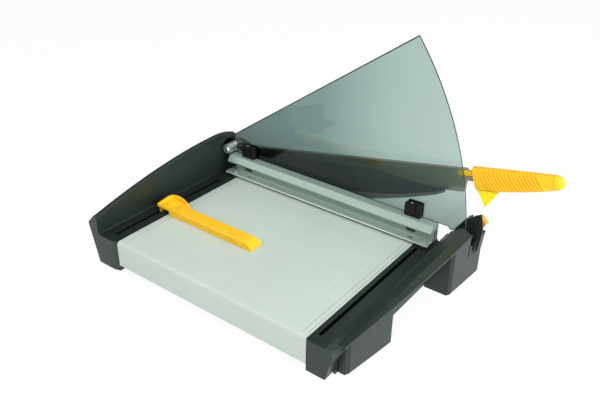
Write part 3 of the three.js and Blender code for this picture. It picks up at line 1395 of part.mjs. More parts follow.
// Paper guide: a long bar with a sloping nose and a curved thumb scoop over the far rail
function guideBar() {
  const left = GUIDE_X - GUIDE_FOOT / 2;
  const right = GUIDE_X + GUIDE_FOOT / 2;
  const end = BED_LENGTH + GUIDE_OVER;
  const short = BED_LENGTH - GUIDE_SHORT;
  const side = new THREE.Shape();
  side.moveTo(GUIDE_TIP_Y, FIT);
  side.lineTo(short, FIT);
  side.lineTo(short, SCOOP_UNDER);
  side.lineTo(end, SCOOP_UNDER);
  side.lineTo(end, GUIDE_HEIGHT);
  side.lineTo(GUIDE_TIP_Y + GUIDE_NOSE, GUIDE_HEIGHT);
  side.quadraticCurveTo(GUIDE_TIP_Y + GUIDE_NOSE / 4, GUIDE_HEIGHT, GUIDE_TIP_Y, GUIDE_TIP_WALL);
  const across = polygon([
    [left, 0], [right, 0], [right, GUIDE_TIP_WALL], [GUIDE_X + GUIDE_CREST / 2, GUIDE_HEIGHT],
    [left + GUIDE_EDGE, GUIDE_HEIGHT], [left, GUIDE_HEIGHT - GUIDE_EDGE],
  ]);
  let bar = alongX(side, left, right).intersect(alongY(across, GUIDE_TIP_Y - OVERRUN, end + OVERRUN));
  bar = bar.add(scoopPlate()).add(scoopRim()).subtract(scoopDish());
  const tongue = box(
    GUIDE_X - TONGUE_LENGTH / 2, GUIDE_X + TONGUE_LENGTH / 2,
    farSlotY() - FAR_SLOT_WIDTH / 2 + FIT, farSlotY() + FAR_SLOT_WIDTH / 2 - FIT,
    -RAIL_WALL, SCOOP_UNDER + OVERRUN,
  );
  bar = bar.add(tongue);
  const screwHole = rodZ(
    GUIDE_SHANK + FIT, -RAIL_WALL - OVERRUN, GUIDE_HEIGHT / 2, GUIDE_X, farSlotY(), 12,
  );
  return bar.subtract(screwHole);
}

// Thumb scoop: shares of its width, of its length from the near end, and of its rise
const scoopShares = [
  [0.02, 1, 0.15], [0.25, 1, 0.28], [0.48, 0.99, 0.5], [0.7, 0.97, 0.75], [0.86, 0.91, 0.93], [0.96, 0.8, 1],
  [1, 0.66, 1], [1, 0.52, 0.92], [0.98, 0.38, 0.72], [0.93, 0.22, 0.4], [0.86, 0.1, 0.12], [0.79, 0, 0],
];

function scoopPoint([across, along]) {
  return [
    GUIDE_X - GUIDE_FOOT / 2 + (GUIDE_FOOT + SCOOP_BULGE) * across,
    BED_LENGTH + GUIDE_OVER - SCOOP_LENGTH * (1 - along),
  ];
}

function scoopPlate() {
  const near = BED_LENGTH + GUIDE_OVER - SCOOP_LENGTH;
  const rim = scoopShares.map((share) => scoopPoint(share));
  return alongZ(polygon([...rim, [rim[0][0], near]]), SCOOP_UNDER, GUIDE_HEIGHT);
}

function scoopRim() {
  const middle = new THREE.Vector2(GUIDE_X, BED_LENGTH + GUIDE_OVER - DISH_BACK);
  const rings = scoopShares.map((share) => {
    const outer = new THREE.Vector2(...scoopPoint(share));
    const inner = outer.clone().add(middle.clone().sub(outer).setLength(SCOOP_WALL));
    const top = GUIDE_HEIGHT + FIT + (SCOOP_HEIGHT - GUIDE_HEIGHT) * share[2];
    const low = GUIDE_HEIGHT - OVERRUN;
    return [
      [outer.x, outer.y, low], [outer.x, outer.y, top], [inner.x, inner.y, top], [inner.x, inner.y, low],
    ];
  });
  return skin(rings);
}

function scoopDish() {
  const radius = (DISH_RADIUS ** 2 + DISH_DEPTH ** 2) / (2 * DISH_DEPTH);
  const ball = new THREE.SphereGeometry(radius, 32, 48);
  ball.rotateX(Math.PI / 2);
  ball.translate(
    GUIDE_X + GUIDE_EDGE, BED_LENGTH + GUIDE_OVER - DISH_BACK, GUIDE_HEIGHT - DISH_DEPTH + radius,
  );
  return solid(ball).intersect(box(
    GUIDE_X - GUIDE_FOOT, GUIDE_X + GUIDE_FOOT, GUIDE_TIP_Y, BED_LENGTH + 2 * GUIDE_OVER,
    GUIDE_HEIGHT - 2 * DISH_DEPTH, GUIDE_HEIGHT + OVERRUN,
  ));
}

function guidePlate() {
  const z = -RAIL_WALL - FIT;
  const plate = box(
    GUIDE_X - TONGUE_LENGTH / 2, GUIDE_X + TONGUE_LENGTH / 2,
    farSlotY() - TONGUE_PLATE / 2, farSlotY() + TONGUE_PLATE / 2, z - TONGUE_PLATE_THICK, z,
  );
  return plate.subtract(rodZ(GUIDE_SHANK + FIT, z - TONGUE_PLATE, OVERRUN, GUIDE_X, farSlotY(), 12));
}

function guideScrewUnder() {
  const seat = -RAIL_WALL - FIT - TONGUE_PLATE_THICK - FIT;
  const shank = rodZ(GUIDE_SHANK, seat - OVERRUN / 2, GUIDE_HEIGHT / 2 - FIT, GUIDE_X, farSlotY(), 12);
  return shank.add(rodZ(SMALL_HEAD, seat - GUIDE_HEAD_THICK, seat, GUIDE_X, farSlotY(), 12));
}

// Latch: a wedge on the shelf
function latch() {
  const left = SHELF_LEFT + LATCH_TRAVEL + FIT;
  const outline = polygon([
    [-LATCH_IN + FIT, SHELF_Z + FIT], [-LATCH_IN + FIT, LATCH_IN_Z], [-LATCH_TOP_OUT, LATCH_TOP_Z],
    [-LATCH_TIP_OUT, LATCH_TIP_Z], [-LIP_OUT_RIGHT + LATCH_CHAMFER, SHELF_Z + FIT],
  ]);
  const wedge = alongX(outline, left, left + LATCH_LENGTH);
  return wedge.subtract(latchBolt(FIT));
}

// Bolt of the latch: slides through the cheek over the front of the lowered grip
function latchBolt(play) {
  const left = SHELF_LEFT + LATCH_TRAVEL + FIT;
  return box(
    SLOT_RIGHT + FIT - play, left + LATCH_BOLT_IN + play,
    -LATCH_TOP_OUT - play, -LATCH_TOP_OUT + LATCH_TONGUE + play,
    LATCH_TONGUE_Z - play, LATCH_TONGUE_Z + LATCH_TONGUE_THICK + play,
  );
}

function rubberPad(x, y) {
  return rodZ(RUBBER_RADIUS, FLOOR, rubberTop(), x, y);
}

function stopPad() {
  return box(
    armMiddle() - STOP_PAD_WIDTH / 2, armMiddle() + STOP_PAD_WIDTH / 2,
    PIVOT_Y - ARM_NECK_END + STOP_PAD_INSET, -LEDGE_NEAR - STOP_PAD_INSET,
    SLOT_FLOOR + FIT, PIVOT_Z - ARM_NECK - FIT,
  );
}

// Assembly
const footLeft = [FOOT_LEFT, FOOT_LEFT_LENGTH];
const footRight = [BED_WIDTH - FOOT_RIGHT, FOOT_RIGHT_LENGTH];
const group = new THREE.Group();
group.name = 'paper_cutter';

function put(name, shape, material) {
  group.add(mesh(name, shape, material));
}

function onArm(shape) {
  return shape.rotate([-ARM_ANGLE, 0, 0]).translate([0, PIVOT_Y, PIVOT_Z]);
}

put('bed_plate', bedPlate(), bedPaint);
put('bed_rib_near', endRib(-1), zincSteel);
put('bed_rib_middle', bedRib(BED_LENGTH / 2), zincSteel);
put('bed_rib_far', endRib(1), zincSteel);
put('counter_blade', counterBlade(), bladeSteel);
counterScrewPlaces().forEach((y, i) => put(`counter_screw_${i + 1}`, counterScrew(y), zincSteel));
put('near_rail', nearRail(), blackPlastic);
put('far_rail', farRail(), blackPlastic);
railScrewPlaces().forEach((x, i) => {
  put(`near_rail_screw_${i + 1}`, railScrew(x, -1), zincSteel);
  put(`far_rail_screw_${i + 1}`, railScrew(x, 1), zincSteel);
});
put('near_foot_left', nearFoot(footLeft), blackPlastic);
put('near_foot_right', nearFoot(footRight), blackPlastic);
const rubberPlaces = [
  rubberPlaceUnder(footLeft), rubberPlaceUnder(footRight), ...farRubberPlaces(),
];
rubberPlaces.forEach(([x, y], i) => put(`rubber_foot_${i + 1}`, rubberPad(x, y), rubber));
put('arm_stop_pad', stopPad(), rubber);

put('pivot_housing', pivotHousing(), zincSteel);
put('pivot_bolt', pivotBolt(), zincSteel);
put('pivot_spacer', ring(WASHER_RADIUS, ARM_X - FIT - WASHER_THICK, ARM_X - FIT), zincSteel);
const washerX = ARM_RIGHT + FIT;
put('pivot_washer', ring(WASHER_RADIUS, washerX, washerX + WASHER_THICK), zincSteel);
const nutX = washerX + WASHER_THICK + FIT;
put('pivot_nut', ring(NUT_RADIUS, nutX, nutX + NUT_THICK, 6), zincSteel);

put('arm_bar', onArm(armBar()), armPaint);
put('blade', onArm(blade()), bladeSteel);
bladeScrewPlaces().forEach((place, i) => put(`blade_screw_${i + 1}`, onArm(bladeScrew(place)), zincSteel));
put('handle_grip', onArm(handleGrip()), yellowPlastic);
put('handle_cap', onArm(handleCap()), yellowPlastic);
handleScrewPlaces().forEach((along, i) => put(
  `handle_screw_${i + 1}`, onArm(handleScrewShape(along, 0)), zincSteel,
));
put('thumb_tongue', onArm(thumbTongue()), yellowPlastic);
put('finger_fin', onArm(fingerFin()), finPlastic);

put('clamp_bar', clampBar(), clampMetal);
put('guide_screw_near', guideScrew(guideScrewNearY()), zincSteel);
put('guide_screw_far', guideScrew(guideScrewFarY()), zincSteel);
put('clamp_spring_near', clampSpring(guideScrewNearY()), zincSteel);
put('clamp_spring_far', clampSpring(guideScrewFarY()), zincSteel);
put('guard_sheet', guardSheet(), guardPlastic);
put('guard_bracket_near', guardBracket(BRACKET_NEAR_Y), blackPlastic);
put('guard_bracket_far', guardBracket(BRACKET_FAR_Y), blackPlastic);
put('bracket_screw_near', bracketScrewShape(BRACKET_NEAR_Y, 0), zincSteel);
put('bracket_screw_far', bracketScrewShape(BRACKET_FAR_Y, 0), zincSteel);

put('paper_guide', guideBar(), yellowPlastic);
put('guide_plate', guidePlate(), zincSteel);
put('guide_plate_screw', guideScrewUnder(), zincSteel);
put('arm_latch', latch(), orangePlastic);
put('latch_bolt', latchBolt(0), blackPlastic);

// The origin goes to the middle of the footprint, on the floor
const bounds = new THREE.Box3().setFromObject(group);
const middle = bounds.getCenter(new THREE.Vector3());
group.position.set(-middle.x, -middle.y, -bounds.min.z);
console.log('moved by', group.position.toArray().map((value) => value.toFixed(3)).join(' '));
console.log('pivot', (PIVOT_Y + group.position.y).toFixed(3), (PIVOT_Z + group.position.z).toFixed(3));

export default group;
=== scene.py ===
# Desk guillotine: materials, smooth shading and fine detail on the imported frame.
import json
import math

import bmesh
import bpy
from mathutils import Matrix, Vector


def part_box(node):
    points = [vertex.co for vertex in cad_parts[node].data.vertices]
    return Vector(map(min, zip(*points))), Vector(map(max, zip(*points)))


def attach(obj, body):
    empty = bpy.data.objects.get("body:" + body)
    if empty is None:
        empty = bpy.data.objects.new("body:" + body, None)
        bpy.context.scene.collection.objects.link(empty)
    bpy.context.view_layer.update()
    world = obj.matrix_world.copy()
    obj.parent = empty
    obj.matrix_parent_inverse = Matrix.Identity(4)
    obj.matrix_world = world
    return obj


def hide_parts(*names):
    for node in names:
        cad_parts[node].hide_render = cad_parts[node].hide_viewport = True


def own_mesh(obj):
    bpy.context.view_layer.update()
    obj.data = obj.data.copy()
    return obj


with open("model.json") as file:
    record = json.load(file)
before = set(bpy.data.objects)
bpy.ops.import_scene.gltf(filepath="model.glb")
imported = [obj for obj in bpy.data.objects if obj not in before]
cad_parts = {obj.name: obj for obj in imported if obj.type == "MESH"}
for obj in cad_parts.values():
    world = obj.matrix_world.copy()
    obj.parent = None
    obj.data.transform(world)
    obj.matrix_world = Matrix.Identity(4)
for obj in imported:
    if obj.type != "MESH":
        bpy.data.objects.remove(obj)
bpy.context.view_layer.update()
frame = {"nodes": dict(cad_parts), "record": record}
nodes = frame["nodes"]
scene = bpy.context.scene
scene.view_settings.view_transform = "Standard"

MM = 0.001
UP = Vector((0.0, 0.0, 1.0))
WHITE = (1.0, 1.0, 1.0, 1.0)
BED_LOW, BED_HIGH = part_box("bed_plate")
CORNER = Vector((BED_LOW[0], BED_LOW[1], BED_HIGH[2]))


# A place given in millimetres from the bed's near left top corner
def place(x, y, z):
    return CORNER + Vector((x, y, z)) * MM


def add_object(name, data):
    item = bpy.data.objects.new(name, data)
    scene.collection.objects.link(item)
    return item


# Camera at the photograph's viewing angle
CAMERA_PLACE = place(-571.8, -412.0, 603.7)
CAMERA_YAW = math.radians(53.373)
CAMERA_PITCH = math.radians(-29.219)
CAMERA_ROLL = math.radians(0.797)
FOCAL_PX = 686.77
FRAME_PX = 600.0
SENSOR_WIDTH = 36.0
CLIP_END = 50.0


def make_camera():
    level = math.cos(CAMERA_PITCH)
    forward = Vector((
        level * math.sin(CAMERA_YAW), level * math.cos(CAMERA_YAW), math.sin(CAMERA_PITCH),
    ))
    right = forward.cross(UP).normalized()
    above = right.cross(forward)
    across = right * math.cos(CAMERA_ROLL) + above * math.sin(CAMERA_ROLL)
    turn = Matrix((across, across.cross(forward), -forward)).transposed()
    data = bpy.data.cameras.new("camera")
    data.sensor_width = SENSOR_WIDTH
    data.lens = FOCAL_PX / FRAME_PX * SENSOR_WIDTH
    data.clip_end = CLIP_END
    camera = add_object("camera", data)
    camera.matrix_world = Matrix.Translation(CAMERA_PLACE) @ turn.to_4x4()
    scene.camera = camera


make_camera()

# Node helpers
NOISE_ROUGH = 0.5
RAMP_MIDDLE = 0.5
BEVEL_SAMPLES = 4


def texture_place(tree, kind):
    return tree.nodes.new("ShaderNodeTexCoord").outputs[kind]


def stretched_place(tree, stretch=(1.0, 1.0, 1.0)):
    mapping = tree.nodes.new("ShaderNodeMapping")
    mapping.inputs["Scale"].default_value = stretch
    tree.links.new(texture_place(tree, "Object"), mapping.inputs["Vector"])
    return mapping.outputs["Vector"]


def separate(tree, vector):
    node = tree.nodes.new("ShaderNodeSeparateXYZ")
    tree.links.new(vector, node.inputs["Vector"])
    return node.outputs


def noise(tree, vector, scale, detail, rough=NOISE_ROUGH):
    node = tree.nodes.new("ShaderNodeTexNoise")
    node.inputs["Scale"].default_value = scale
    node.inputs["Detail"].default_value = detail
    node.inputs["Roughness"].default_value = rough
    tree.links.new(vector, node.inputs["Vector"])
    return node.outputs["Fac"]


# A colour ramp, whose new stops start in the middle and then go to their places
def ramp(tree, value, stops):
    node = tree.nodes.new("ShaderNodeValToRGB")
    tree.links.new(value, node.inputs["Fac"])
    elements = node.color_ramp.elements
    while len(elements) < len(stops):
        elements.new(RAMP_MIDDLE)
    for element, (at, color) in zip(elements, stops):
        element.position = at
        element.color = (*color, 1.0)
    return node.outputs["Color"]


def remap(tree, value, to_low, to_high, from_low=0.0, from_high=1.0):
    node = tree.nodes.new("ShaderNodeMapRange")
    node.inputs["From Min"].default_value = from_low
    node.inputs["From Max"].default_value = from_high
    node.inputs["To Min"].default_value = to_low
    node.inputs["To Max"].default_value = to_high
    tree.links.new(value, node.inputs["Value"])
    return node.outputs["Result"]


def larger_of(tree, first, second):
    node = tree.nodes.new("ShaderNodeMath")
    node.operation = "MAXIMUM"
    tree.links.new(first, node.inputs[0])
    tree.links.new(second, node.inputs[1])
    return node.outputs["Value"]


def part_of(tree, value, factor):
    node = tree.nodes.new("ShaderNodeMath")
    node.operation = "MULTIPLY"
    node.inputs[1].default_value = factor
    tree.links.new(value, node.inputs[0])
    return node.outputs["Value"]


def mix_shaders(tree, share, first, second):
    node = tree.nodes.new("ShaderNodeMixShader")
    for socket, source in zip(node.inputs, (share, first, second)):
        tree.links.new(source, socket)
    return node.outputs["Shader"]


# A bump from the height, over edges that look rounded by the given radius
def bump(tree, shader, height, strength, distance, edge):
    node = tree.nodes.new("ShaderNodeBump")
    node.inputs["Strength"].default_value = strength
    node.inputs["Distance"].default_value = distance
    tree.links.new(height, node.inputs["Height"])
    if edge:
        bevel = tree.nodes.new("ShaderNodeBevel")
        bevel.samples = BEVEL_SAMPLES
        bevel.inputs["Radius"].default_value = edge
        tree.links.new(bevel.outputs["Normal"], node.inputs["Normal"])
    tree.links.new(node.outputs["Normal"], shader.inputs["Normal"])


# Material helpers: texture scales count repeats to the metre
SPECULAR = 0.5
PATCH_DETAIL = 5.0
PATCH_ROUGH = 0.6
PATCH_STOPS = (0.3, 0.7)
FINE_DETAIL = 2.0
SMEAR_DETAIL = 3.0

PLASTIC_SPREAD = 0.05
PLASTIC_PATCHES = 30.0
PLASTIC_GRAIN = 900.0
PLASTIC_SMEARS = 14.0
PLASTIC_GLOSS = (0.8, 1.25)
PLASTIC_DEPTH = 0.15 * MM

METAL_SPREAD = 0.07
METAL_PATCHES = 160.0
METAL_LINES = 700.0
METAL_GLOSS = (0.75, 1.3)
METAL_DEPTH = 0.08 * MM

PAINT_SPECULAR = 0.4
PAINT_SPREAD = 0.03
PAINT_PATCHES = 9.0
PAINT_PEEL = 420.0
PAINT_SMEARS = 11.0
PAINT_GLOSS = (0.85, 1.2)
PAINT_GRAIN = 0.1
PAINT_DEPTH = 0.12 * MM
PAINT_EDGE = 0.4 * MM


def new_material(name, color, roughness, metallic=0.0, specular=SPECULAR):
    material = bpy.data.materials.new(name)
    material.use_nodes = True
    tree = material.node_tree
    shader = tree.nodes["Principled BSDF"]
    shader.inputs["Base Color"].default_value = (*color, 1.0)
    shader.inputs["Roughness"].default_value = roughness
    shader.inputs["Metallic"].default_value = metallic
    shader.inputs["Specular IOR Level"].default_value = specular
    return material, tree, shader


def tinted(color, factor):
    return tuple(max(0.0, min(1.0, channel * factor)) for channel in color)


# Patches of colour, lighter and darker than the given one by the spread
def vary_color(tree, shader, vector, color, spread, scale):
    patch = noise(tree, vector, scale, PATCH_DETAIL, PATCH_ROUGH)
    tints = (tinted(color, 1 - spread), tinted(color, 1 + spread))
    tree.links.new(ramp(tree, patch, list(zip(PATCH_STOPS, tints))), shader.inputs["Base Color"])


# Uneven gloss: the roughness goes from one share of its mean to another
def vary_gloss(tree, shader, value, roughness, shares):
    low, high = (roughness * share for share in shares)
    tree.links.new(remap(tree, value, low, high), shader.inputs["Roughness"])


# Moulded plastic: slight mottling, a fine grain and uneven gloss
def plastic(name, color, roughness, specular=SPECULAR, grain=0.12, edge=0.5 * MM):
    material, tree, shader = new_material(name, color, roughness, specular=specular)
    vector = stretched_place(tree)
    vary_color(tree, shader, vector, color, PLASTIC_SPREAD, PLASTIC_PATCHES)
    smear = noise(tree, vector, PLASTIC_SMEARS, SMEAR_DETAIL)
    vary_gloss(tree, shader, smear, roughness, PLASTIC_GLOSS)
    fine = noise(tree, vector, PLASTIC_GRAIN, FINE_DETAIL)
    bump(tree, shader, fine, grain, PLASTIC_DEPTH, edge)
    return material


# Metal: brushed along one way, with a little unevenness in tone
def metal(name, color, roughness, stretch, metallic=1.0, grain=0.15, edge=0.3 * MM):
    material, tree, shader = new_material(name, color, roughness, metallic)
    brushed = stretched_place(tree, stretch)
    vary_color(tree, shader, brushed, color, METAL_SPREAD, METAL_PATCHES)
    lines = noise(tree, brushed, METAL_LINES, SMEAR_DETAIL)
    vary_gloss(tree, shader, lines, roughness, METAL_GLOSS)
    bump(tree, shader, lines, grain, METAL_DEPTH, edge)
    return material


# Powder paint: fine orange peel
def paint(name, color, roughness):
    material, tree, shader = new_material(name, color, roughness, specular=PAINT_SPECULAR)
    vector = stretched_place(tree)
    vary_color(tree, shader, vector, color, PAINT_SPREAD, PAINT_PATCHES)
    smear = noise(tree, vector, PAINT_SMEARS, SMEAR_DETAIL)
    vary_gloss(tree, shader, smear, roughness, PAINT_GLOSS)
    peel = noise(tree, vector, PAINT_PEEL, FINE_DETAIL)
    bump(tree, shader, peel, PAINT_GRAIN, PAINT_DEPTH, PAINT_EDGE)
    return material


# The guard's sheet, whose tints go from its far end at the pivot to its near end: painted shade,
# darkest at the pivot
GUARD_SHADE_TINTS = [(0.12, 0.2, 0.19), (0.15, 0.26, 0.245), (0.33, 0.47, 0.43), (0.44, 0.58, 0.54)]
GUARD_SHADE_STOPS = (0.0, 0.42, 0.68, 1.0)
GUARD_FOOT = 90 * MM
GUARD_FOOT_SHADE = 0.5
GUARD_HAZE = 8.0
GUARD_HAZE_DETAIL = 4.0
GUARD_ROUGHNESS = 0.03
GUARD_ROUGHNESS_RANGE = (0.01, 0.05)
GUARD_IOR = 1.45
GUARD_ALPHA = 0.9


# Its tint by place, with painted shade: darker towards the pivot, and towards its foot on the clamp
def guard_painted_shade(tree, vector):
    low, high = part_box("guard_sheet")
    parts = separate(tree, vector)
    along = remap(tree, parts["Y"], 0.0, 1.0, high.y, low.y)
    height = remap(tree, parts["Z"], GUARD_FOOT_SHADE, 1.0, low.z, low.z + GUARD_FOOT)
    shade = tree.nodes.new("ShaderNodeVectorMath")
    shade.operation = "SCALE"
    tree.links.new(ramp(tree, along, list(zip(GUARD_SHADE_STOPS, GUARD_SHADE_TINTS))), shade.inputs["Vector"])
    tree.links.new(height, shade.inputs["Scale"])
    return shade.outputs["Vector"]


# Clear tinted sheet with a faint haze, and painted shade in its tint
def guard_material():
    material, tree, shader = new_material("guard_clear", GUARD_SHADE_TINTS[0], GUARD_ROUGHNESS)
    vector = texture_place(tree, "Object")
    tree.links.new(guard_painted_shade(tree, vector), shader.inputs["Base Color"])
    haze = noise(tree, vector, GUARD_HAZE, GUARD_HAZE_DETAIL)
    tree.links.new(remap(tree, haze, *GUARD_ROUGHNESS_RANGE), shader.inputs["Roughness"])
    shader.inputs["IOR"].default_value = GUARD_IOR
    shader.inputs["Transmission Weight"].default_value = 1.0
    shader.inputs["Alpha"].default_value = GUARD_ALPHA
    return material


# The materials. The clamp and the blade are brushed along the cut, the zinc along its height.
ALONG_CLAMP = (1.0, 0.05, 1.0)
ALONG_BLADE = (1.0, 0.04, 1.0)
ALONG_HEIGHT = (1.0, 1.0, 0.2)
BLACK_GLOSS_TINT = (0.8, 1.0, 0.9, 1.0)

BLACK = plastic("black_plastic", (0.013, 0.019, 0.016), 0.4, specular=0.56, grain=0.08, edge=0.9 * MM)
BLACK.node_tree.nodes["Principled BSDF"].inputs["Specular Tint"].default_value = BLACK_GLOSS_TINT
# Painted shade: a near-black matt colour for the insides of slots and recesses
RECESS_SHADE = plastic("recess_painted_shade", (0.003, 0.003, 0.003), 0.7, specular=0.05, grain=0.05, edge=0.0)
MATT_BLACK = plastic("black_matt", (0.009, 0.01, 0.01), 0.5, specular=0.22, edge=0.8 * MM)
RUBBER = plastic("rubber", (0.02, 0.02, 0.02), 0.75, specular=0.3, grain=0.35)
YELLOW = plastic("yellow_plastic", (1.0, 0.57, 0.018), 0.38, specular=0.33, edge=0.7 * MM)
FIN = plastic("fin_plastic", (1.0, 0.84, 0.015), 0.34, grain=0.1, edge=0.7 * MM)
ORANGE = plastic("orange_plastic", (0.8, 0.34, 0.02), 0.36, grain=0.1, edge=0.6 * MM)
BED = paint("bed_paint", (0.565, 0.645, 0.585), 0.38)
ARM = paint("arm_paint", (0.34, 0.3, 0.235), 0.4)
INK = paint("scale_ink", (0.2, 0.27, 0.24), 0.5)
CLAMP = metal("clamp_aluminium", (0.335, 0.44, 0.385), 0.36, ALONG_CLAMP, 0.2, 0.12, 0.7 * MM)
# Painted highlight: a light colour for the bright line along the clamp foot's edge
CLAMP_EDGE_HIGHLIGHT = metal("clamp_edge_highlight", (0.8, 0.86, 0.83), 0.42, ALONG_CLAMP, 0.1, 0.12, 0.0)
ZINC = metal("zinc_steel", (0.72, 0.78, 0.73), 0.34, ALONG_HEIGHT, 0.85)
KNIFE = metal("blade_steel", (0.145, 0.175, 0.235), 0.3, ALONG_BLADE)
GUARD = guard_material()
# Painted shade: an opaque dark colour for the guard's cut edges
GUARD_EDGE_SHADE = plastic("guard_edge_shade", (0.012, 0.026, 0.025), 0.25, specular=0.4, grain=0.05, edge=0.0)

BY_SLOT = {
    "black_plastic": BLACK, "bed_paint": BED, "zinc_steel": ZINC, "blade_steel": KNIFE,
    "clamp_aluminium": CLAMP, "arm_paint": ARM, "yellow_plastic": YELLOW, "fin_plastic": FIN,
    "orange_plastic": ORANGE, "guard_plastic": GUARD, "rubber": RUBBER,
}
SLOT_OF = {row["node"]: row["material_slot"] for row in frame["record"]["subparts"]}
BODIES = frame["record"]["behaviour"]["bodies"]
BODY_OF = {name: body for body, members in BODIES.items() for name in members}

for name, node in nodes.items():
    material = BY_SLOT[SLOT_OF[name]]
    if not node.material_slots:
        node.data.materials.append(material)
    for material_slot in node.material_slots:
        material_slot.material = material

# Smooth copies. The plain nodes need none, and two nodes have softer corners than the others.
PLAIN_NODES = {
    "bed_rib_near", "bed_rib_middle", "bed_rib_far", "counter_blade", "guide_plate", "arm_stop_pad",
}
SHARP_DEGREES = 28.0
SOFTER_DEGREES = {"near_rail": 40.0, "paper_guide": 34.0}
WELD = 0.002 * MM
FLAT_ANGLE = math.radians(0.4)
NORMAL_WEIGHT = 80


# A node's mesh with its points joined and its flat faces whole
def joined_mesh(name):
    work = bmesh.new()
    work.from_mesh(nodes[name].data)
    bmesh.ops.remove_doubles(work, verts=work.verts, dist=WELD)
    bmesh.ops.dissolve_limit(work, angle_limit=FLAT_ANGLE, verts=work.verts, edges=work.edges)
    points = [vertex.co.copy() for vertex in work.verts]
    work.verts.index_update()
    faces = [[vertex.index for vertex in face.verts] for face in work.faces]
    work.free()
    mesh = bpy.data.meshes.new(name + "_finish")
    mesh.from_pydata(points, [], faces)
    return mesh


# A copy of a node, shaded smooth between its sharp edges
def smooth_copy(name):
    mesh = joined_mesh(name)
    mesh.shade_smooth()
    mesh.set_sharp_from_angle(angle=math.radians(SOFTER_DEGREES.get(name, SHARP_DEGREES)))
    mesh.materials.append(BY_SLOT[SLOT_OF[name]])
    piece = add_object(name + "_finish", mesh)
    weighted = piece.modifiers.new("weighted", "WEIGHTED_NORMAL")
    weighted.keep_sharp = True
    weighted.weight = NORMAL_WEIGHT
    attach(piece, BODY_OF[name])
    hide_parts(name)
    return piece


pieces = {name: smooth_copy(name) for name in nodes if name not in PLAIN_NODES}
for name in ("guard_bracket_near", "guard_bracket_far"):
    pieces[name].data.materials[0] = MATT_BLACK

# Faces with a material of their own, found by place (millimetres from the corner) and direction.
# A face is turned away from an axis where its normal has less than this share along it.
TURNED_AWAY = 0.5
FACES_LEFT = -0.9
FAR_SLOT_Y = (397.2, 402.8)
NEAR_SLOT_Y = (-13.9, -7.7)
NEAR_SLOT_FLOOR = -7.5
LEDGE_TOP = -0.3
NICHE_AXIS_X = 315.0
NICHE_AXIS_Z = 47.0
NICHE_RADIUS = 15.3
NICHE_Y = (416.9, 430.0)
CLAMP_LEFT = (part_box("clamp_bar")[0][0] - CORNER.x) / MM
CLAMP_EDGE_DEPTH = 0.1
CLAMP_FOOT_TOP = 9.0


def middle_of(face):
    return (face.center - CORNER) / MM


def between(value, limits):
    return limits[0] < value < limits[1]


def in_far_slot(face):
    spot = middle_of(face)
    return between(spot.y, FAR_SLOT_Y) and spot.z < LEDGE_TOP and abs(face.normal.z) < TURNED_AWAY


def in_niche(face):
    spot = middle_of(face)
    from_axis = math.hypot(spot.x - NICHE_AXIS_X, spot.z - NICHE_AXIS_Z)
    return from_axis < NICHE_RADIUS and between(spot.y, NICHE_Y)


def inside_far_rail(face):
    return in_far_slot(face) or in_niche(face)


def in_near_slot(face):
    spot = middle_of(face)
    return between(spot.y, NEAR_SLOT_Y) and between(spot.z, (NEAR_SLOT_FLOOR, LEDGE_TOP))


# The faces that get the painted highlight
def on_clamp_highlight_edge(face):
    spot = middle_of(face)
    at_left = spot.x < CLAMP_LEFT + CLAMP_EDGE_DEPTH
    return face.normal.x < FACES_LEFT and at_left and spot.z < CLAMP_FOOT_TOP


# The faces that get the painted shade of the cut edges
def on_shaded_cut_edge(face):
    return abs(face.normal.x) < TURNED_AWAY


def give_faces(name, material, chosen):
    mesh = pieces[name].data
    mesh.materials.append(material)
    for face in mesh.polygons:
        if chosen(face):
            face.material_index = 1


# Painted shade: the insides of the slots and the pivot's recess get a near-black matt colour
give_faces("far_rail", RECESS_SHADE, inside_far_rail)
give_faces("near_rail", RECESS_SHADE, in_near_slot)
# The left faces of the clamp's foot get a painted highlight, a light colour for the bright line along
# its edge
give_faces("clamp_bar", CLAMP_EDGE_HIGHLIGHT, on_clamp_highlight_edge)
# Painted shade: the sheet's cut edges get a dark colour, for the dark look that the tint of its whole
# width gives them
give_faces("guard_sheet", GUARD_EDGE_SHADE, on_shaded_cut_edge)


def piece_from(work, name, material):
    mesh = bpy.data.meshes.new(name)
    work.to_mesh(mesh)
    work.free()
    mesh.materials.append(material)
    return add_object(name, mesh)


# The guard's straight edge: its ends (y, z), its two sides (x), and its depth into the sheet
RIM_LOW_END = (405.0, 75.0)
RIM_HIGH_END = (39.0, 329.4)
RIM_SIDES = (316.94, 320.06)
RIM_INSET = 0.6
RIM_DEPTH = 1.9
RIM_SLANT = 0.8


# A fine strip along that edge, dark with painted shade for the dark look of a tinted sheet's cut edge
def guard_shade_rim():
    low = Vector((0.0, *RIM_LOW_END))
    high = Vector((0.0, *RIM_HIGH_END))
    along = (high - low).normalized()
    inward = Vector((0.0, -along.z, along.y)) * RIM_DEPTH
    low = low + along * RIM_INSET
    high = high - along * RIM_INSET
    outline = (low, high, high + inward - along * RIM_SLANT, low + inward)
    work = bmesh.new()
    left, right = (
        [work.verts.new(place(x, point.y, point.z)) for point in outline] for x in RIM_SIDES
    )
    work.faces.new(left)
    work.faces.new(right[::-1])
    for i in range(len(outline)):
        j = (i + 1) % len(outline)
        work.faces.new([left[j], left[i], right[i], right[j]])
    bmesh.ops.recalc_face_normals(work, faces=work.faces)
    piece = piece_from(work, "guard_shade_rim", GUARD_EDGE_SHADE)
    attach(piece, "clamp")


guard_shade_rim()


# The clamp's springs each get a copy of their mesh of their own
def shorten_with_clamp(name):
    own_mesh(pieces[name])


shorten_with_clamp("clamp_spring_near")
shorten_with_clamp("clamp_spring_far")

